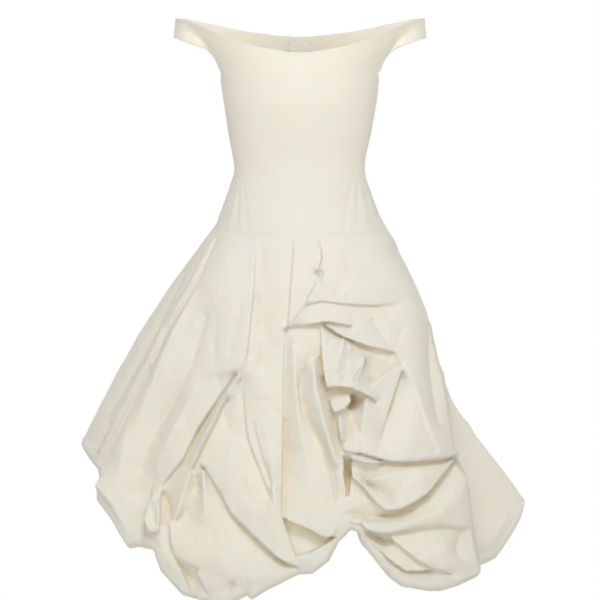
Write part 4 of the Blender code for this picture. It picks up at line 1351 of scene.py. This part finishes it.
class Stitching:
    """Rows of stitches, laid along curves by Geometry Nodes."""

    def __init__(self, size: StitchSizes, look: bpy.types.Material) -> None:
        """Keeps the sizes and makes the node group.

        Args:
            size: Sizes of a row.
            look: Material of the thread.
        """
        self.size = size
        self.look = look
        self.group = self.make_group()

    def make_group(self) -> bpy.types.NodeTree:
        """One stitch on every point of the resampled curve."""
        group = bpy.data.node_groups.new("stitch_row", "GeometryNodeTree")
        group.interface.new_socket("Geometry", in_out="INPUT", socket_type="NodeSocketGeometry")
        for name in ("Pitch", "Length", "Radius"):
            group.interface.new_socket(name, in_out="INPUT", socket_type="NodeSocketFloat")
        group.interface.new_socket("Thread", in_out="INPUT", socket_type="NodeSocketMaterial")
        group.interface.new_socket("Geometry", in_out="OUTPUT", socket_type="NodeSocketGeometry")
        given = group.nodes.new("NodeGroupInput")
        result = group.nodes.new("NodeGroupOutput")
        points = add(group, "GeometryNodeResampleCurve", mode="LENGTH", Curve=given.outputs["Geometry"],
                     Length=given.outputs["Pitch"])
        thread = add(group, "GeometryNodeMeshCylinder", Vertices=6, Radius=given.outputs["Radius"],
                     Depth=given.outputs["Length"])
        tangent = group.nodes.new("GeometryNodeInputTangent")
        turn = add(group, "FunctionNodeAlignRotationToVector", axis="Z", Vector=tangent.outputs["Tangent"])
        copies = add(group, "GeometryNodeInstanceOnPoints", Points=points.outputs["Curve"],
                     Instance=thread.outputs["Mesh"], Rotation=turn.outputs["Rotation"])
        real = add(group, "GeometryNodeRealizeInstances", Geometry=copies.outputs["Instances"])
        dressed = add(group, "GeometryNodeSetMaterial", Geometry=real.outputs["Geometry"],
                      Material=given.outputs["Thread"])
        group.links.new(dressed.outputs["Geometry"], result.inputs["Geometry"])
        return group

    def rows(self, name: str, lines: list, pitch: float | None = None) -> bpy.types.Object:
        """Sews along lines and keeps the result as a plain mesh.

        Args:
            name: Name of the object.
            lines: Arrays of points.
            pitch: From one stitch to the next, or None for the usual one.

        Returns:
            The object.
        """
        curve = bpy.data.curves.new(name + "_path", "CURVE")
        curve.dimensions = "3D"
        for line in lines:
            spline = curve.splines.new("POLY")
            spline.points.add(len(line) - 1)
            flat = np.concatenate([line, np.ones((len(line), 1))], axis=1)
            spline.points.foreach_set("co", flat.ravel())
        path = bpy.data.objects.new(name + "_path", curve)
        bpy.context.scene.collection.objects.link(path)
        modifier = path.modifiers.new("stitches", "NODES")
        modifier.node_group = self.group
        values = {"Pitch": pitch or self.size.pitch, "Length": self.size.length, "Radius": self.size.radius,
                  "Thread": self.look}
        for item in self.group.interface.items_tree:
            if item.in_out == "INPUT" and item.name in values:
                modifier[item.identifier] = values[item.name]
        graph = bpy.context.evaluated_depsgraph_get()
        mesh = bpy.data.meshes.new_from_object(path.evaluated_get(graph), depsgraph=graph)
        bpy.data.objects.remove(path, do_unlink=True)
        mesh.name = name
        obj = bpy.data.objects.new(name, mesh)
        bpy.context.scene.collection.objects.link(obj)
        if not mesh.materials:
            mesh.materials.append(self.look)
        return obj

    def bodice_lines(self, form: DressForm, bodice: Bodice) -> list:
        """Rows beside the princess seams and along the neckline.

        Args:
            form: The worn form.
            bodice: The bodice, for its surface ripple.

        Returns:
            Arrays of points.
        """
        lines = []
        size = form.bodice
        heights = np.linspace(0.188, -0.098, 120)
        for side in Side:
            for face in Face:
                edge = np.array([form.seam_deg(z) for z in heights])
                shift = math.degrees(self.size.inset / 0.115)
                deg = edge + shift if face is Face.FRONT else 180.0 - edge - shift
                line = form.body(deg * side.value, heights)
                step = form.body((deg + 1.0) * side.value, heights) - form.body((deg - 1.0) * side.value, heights)
                way = bodice.level(line, step)
                lines.append(bodice.eased(line, way) + way * self.size.proud)
                half = np.linspace(0.0, 0.97, 140)
                drop = 0.006 / (0.04 + 0.03 * (1.0 - half))
                rim = form.yoke(side.value, half, 1.0 - drop, face)
                ahead = form.yoke(side.value, half + 0.01, 1.0 - drop, face)
                rise = form.yoke(side.value, half, half * 0.0 + 1.0, face) - form.yoke(side.value, half, half * 0.0, face)
                way = unit(np.cross(ahead - rim, rise)) * side.value * (1.0 if face is Face.FRONT else -1.0)
                lines.append(bodice.eased(rim, way) + way * self.size.proud)
        LOG.info("stitched bodice rows: %d, seam height %.3f", len(lines), size.underarm_z)
        return lines


@dataclass(frozen=True)
class StudioSizes:
    """Camera and lights.

    Attributes:
        frame: Height of what the picture shows, in metres.
        distance: Camera distance, in metres.
        plane: Depth of the place where the picture has its scale, in metres.
        centre: Where the camera looks.
        floor: Height of the floor.
        floor_reach: Radius of the floor.
        sides: Sides of the round floor.
        glow_from: Distance from the middle where the floor starts to glow.
        glow_full: Distance where it glows in full.
        glow: How strongly it glows there.
        band: Sine of the height over the horizon where the white ends, and where the dimmer sky starts.
    """

    frame: float = 1.2
    distance: float = 24.0
    plane: float = -0.07
    centre: tuple = (0.0, 0.0, -0.26)
    floor: float = -1.30
    floor_reach: float = 16.5
    sides: int = 96
    glow_from: float = 2.5
    glow_full: float = 6.0
    glow: float = 0.55
    band: tuple = (0.07, 0.10)


class Studio:
    """Floor, air, lights and camera."""

    def __init__(self, size: StudioSizes) -> None:
        """Keeps the sizes.

        Args:
            size: Sizes of the studio.
        """
        self.size = size

    def camera(self) -> None:
        """A long lens level with the middle of the dress."""
        data = bpy.data.cameras.new("camera")
        data.sensor_width = 36.0
        data.lens = 36.0 * (self.size.distance + self.size.plane) / self.size.frame
        data.clip_end = 200.0
        obj = bpy.data.objects.new("camera", data)
        obj.location = (self.size.centre[0], -self.size.distance, self.size.centre[2])
        obj.rotation_euler = (math.pi / 2.0, 0.0, 0.0)
        bpy.context.scene.collection.objects.link(obj)
        bpy.context.scene.camera = obj

    def floor(self) -> None:
        """A round pale floor, open on every side, that glows softly away from the dress."""
        turns = np.linspace(0.0, 2.0 * math.pi, self.size.sides, endpoint=False)
        reach = self.size.floor_reach
        rim = [(reach * math.cos(turn), reach * math.sin(turn), self.size.floor) for turn in turns]
        mesh = bpy.data.meshes.new("studio_floor")
        mesh.from_pydata(rim, [], [tuple(range(self.size.sides))])
        obj = bpy.data.objects.new("studio_floor", mesh)
        bpy.context.scene.collection.objects.link(obj)
        look = bpy.data.materials.new("studio_paper")
        look.use_nodes = True
        tree = look.node_tree
        shader = tree.nodes["Principled BSDF"]
        shader.inputs["Base Color"].default_value = linear("FAFAF8")
        shader.inputs["Roughness"].default_value = 0.9
        shader.inputs["Emission Color"].default_value = linear("FFFFFF")
        place = tree.nodes.new("ShaderNodeTexCoord")
        away = add(tree, "ShaderNodeVectorMath", operation="LENGTH", Vector=place.outputs["Object"])
        glow = add(tree, "ShaderNodeMapRange", Value=away.outputs["Value"], From_Min=self.size.glow_from,
                   From_Max=self.size.glow_full, To_Max=self.size.glow)
        tree.links.new(glow.outputs["Result"], shader.inputs["Emission Strength"])
        obj.data.materials.append(look)

    def air(self) -> None:
        """A world that is white along the horizon, as a lit backdrop, and dimmer above and below."""
        world = bpy.data.worlds.new("studio_air")
        bpy.context.scene.world = world
        world.use_nodes = True
        tree = world.node_tree
        way = tree.nodes.new("ShaderNodeTexCoord")
        split = add(tree, "ShaderNodeSeparateXYZ", Vector=way.outputs["Generated"])
        height = add(tree, "ShaderNodeMath", operation="ABSOLUTE")
        tree.links.new(split.outputs["Z"], height.inputs[0])
        share = add(tree, "ShaderNodeMapRange", Value=height.outputs["Value"],
                    From_Min=self.size.band[0], From_Max=self.size.band[1])
        shade = add(tree, "ShaderNodeMixRGB", Fac=share.outputs["Result"], Color1=linear("FFFFFF"),
                    Color2=linear("9E9E9E"))
        tree.links.new(shade.outputs["Color"], tree.nodes["Background"].inputs["Color"])

    def light(self, name: str, place: tuple, target: tuple, size: float, power: float, colour: str) -> None:
        """One soft box."""
        data = bpy.data.lights.new(name, "AREA")
        data.shape = "SQUARE"
        data.size = size
        data.energy = power
        data.color = linear(colour)[:3]
        obj = bpy.data.objects.new(name, data)
        obj.location = place
        way = Vector(target) - Vector(place)
        obj.rotation_euler = way.to_track_quat("-Z", "Y").to_euler()
        bpy.context.scene.collection.objects.link(obj)

    def build(self) -> None:
        """Makes the whole studio."""
        self.camera()
        self.floor()
        self.air()
        self.light("key_box", (0.15, -3.5, 2.5), (0.0, 0.0, -0.2), 1.5, 74.0, "FFFFFF")
        self.light("fill_box", (0.3, -4.6, 0.3), (0.0, 0.0, -0.4), 2.6, 15.0, "FFFFFF")
        self.light("top_box", (0.0, -0.2, 3.0), (0.0, 0.0, -0.3), 2.0, 18.0, "FFFFFF")
        self.light("back_box", (0.0, 4.6, 1.6), (0.0, 0.0, -0.3), 2.6, 40.0, "FFFFFF")
        bpy.context.scene.view_settings.view_transform = "Standard"
        bpy.context.scene.view_settings.look = "None"


def main() -> None:
    """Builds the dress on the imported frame."""
    logging.basicConfig(level=logging.INFO, format="%(message)s")
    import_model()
    form = DressForm(BodiceSizes(), SkirtSizes())
    taffeta = cloth_material(TAFFETA)
    cloth = Cloth(taffeta, 0.0013)
    bodice = Bodice(form, cloth)
    made: list[tuple[bpy.types.Object, str]] = [(bodice.front(), "bodice_front")]
    for side in Side:
        tag = side.name.lower()
        made.append((bodice.back(side), f"bodice_back_{tag}"))
        for face in Face:
            made.append((bodice.side(side, face), f"bodice_side_{face.value}_{tag}"))
    LOG.info("bodice: %d panels", len(made))
    front, back = Relief(FRONT_CREASES), Relief(BACK_CREASES, swell=0.004, reach=60.0)
    skirt = Skirt(form, cloth, front, back)
    for plan in PANELS:
        made.append((skirt.panel(plan), plan.node))
        LOG.info("panel %s", plan.node)
    made.append((skirt.tail(), "skirt_tail_left"))
    for obj, node in made:
        areas = np.empty(len(obj.data.polygons))
        obj.data.polygons.foreach_get("area", areas)
        LOG.info("%s: %d faces, %.3f m2 of cloth", node, len(areas), areas.sum() / 2.0)
        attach(obj, "dress")
        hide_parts(node)
    stitching = Stitching(StitchSizes(), cloth_material(THREAD))
    sewn = [stitching.rows("bodice_stitches", stitching.bodice_lines(form, bodice))]
    low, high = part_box("label")
    corners = [(x, z) for x in (low[0] + 0.0016, high[0] - 0.0016) for z in (low[2] + 0.003, high[2] - 0.003)]
    bars = [np.array([(x, low[1] - 0.0003, z - 0.0012), (x, low[1] - 0.0003, z + 0.0012)]) for x, z in corners]
    tacks = Stitching(StitchSizes(length=0.0026, radius=0.0004), cloth_material(TACK))
    sewn.append(tacks.rows("label_tacks", bars, 0.1))
    for obj in sewn:
        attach(obj, "dress")
    tape = cloth_material(TAPE)
    metal = metal_material(ZIP_METAL)
    for node, look in (("label", tape), ("zip_tape", tape), ("zip_slider", metal), ("zip_pull_tab", metal)):
        for material_slot in bpy.data.objects[node].material_slots:
            material_slot.material = look
    Studio(StudioSizes()).build()
    LOG.info("done")


if __name__ == "__main__":
    main()
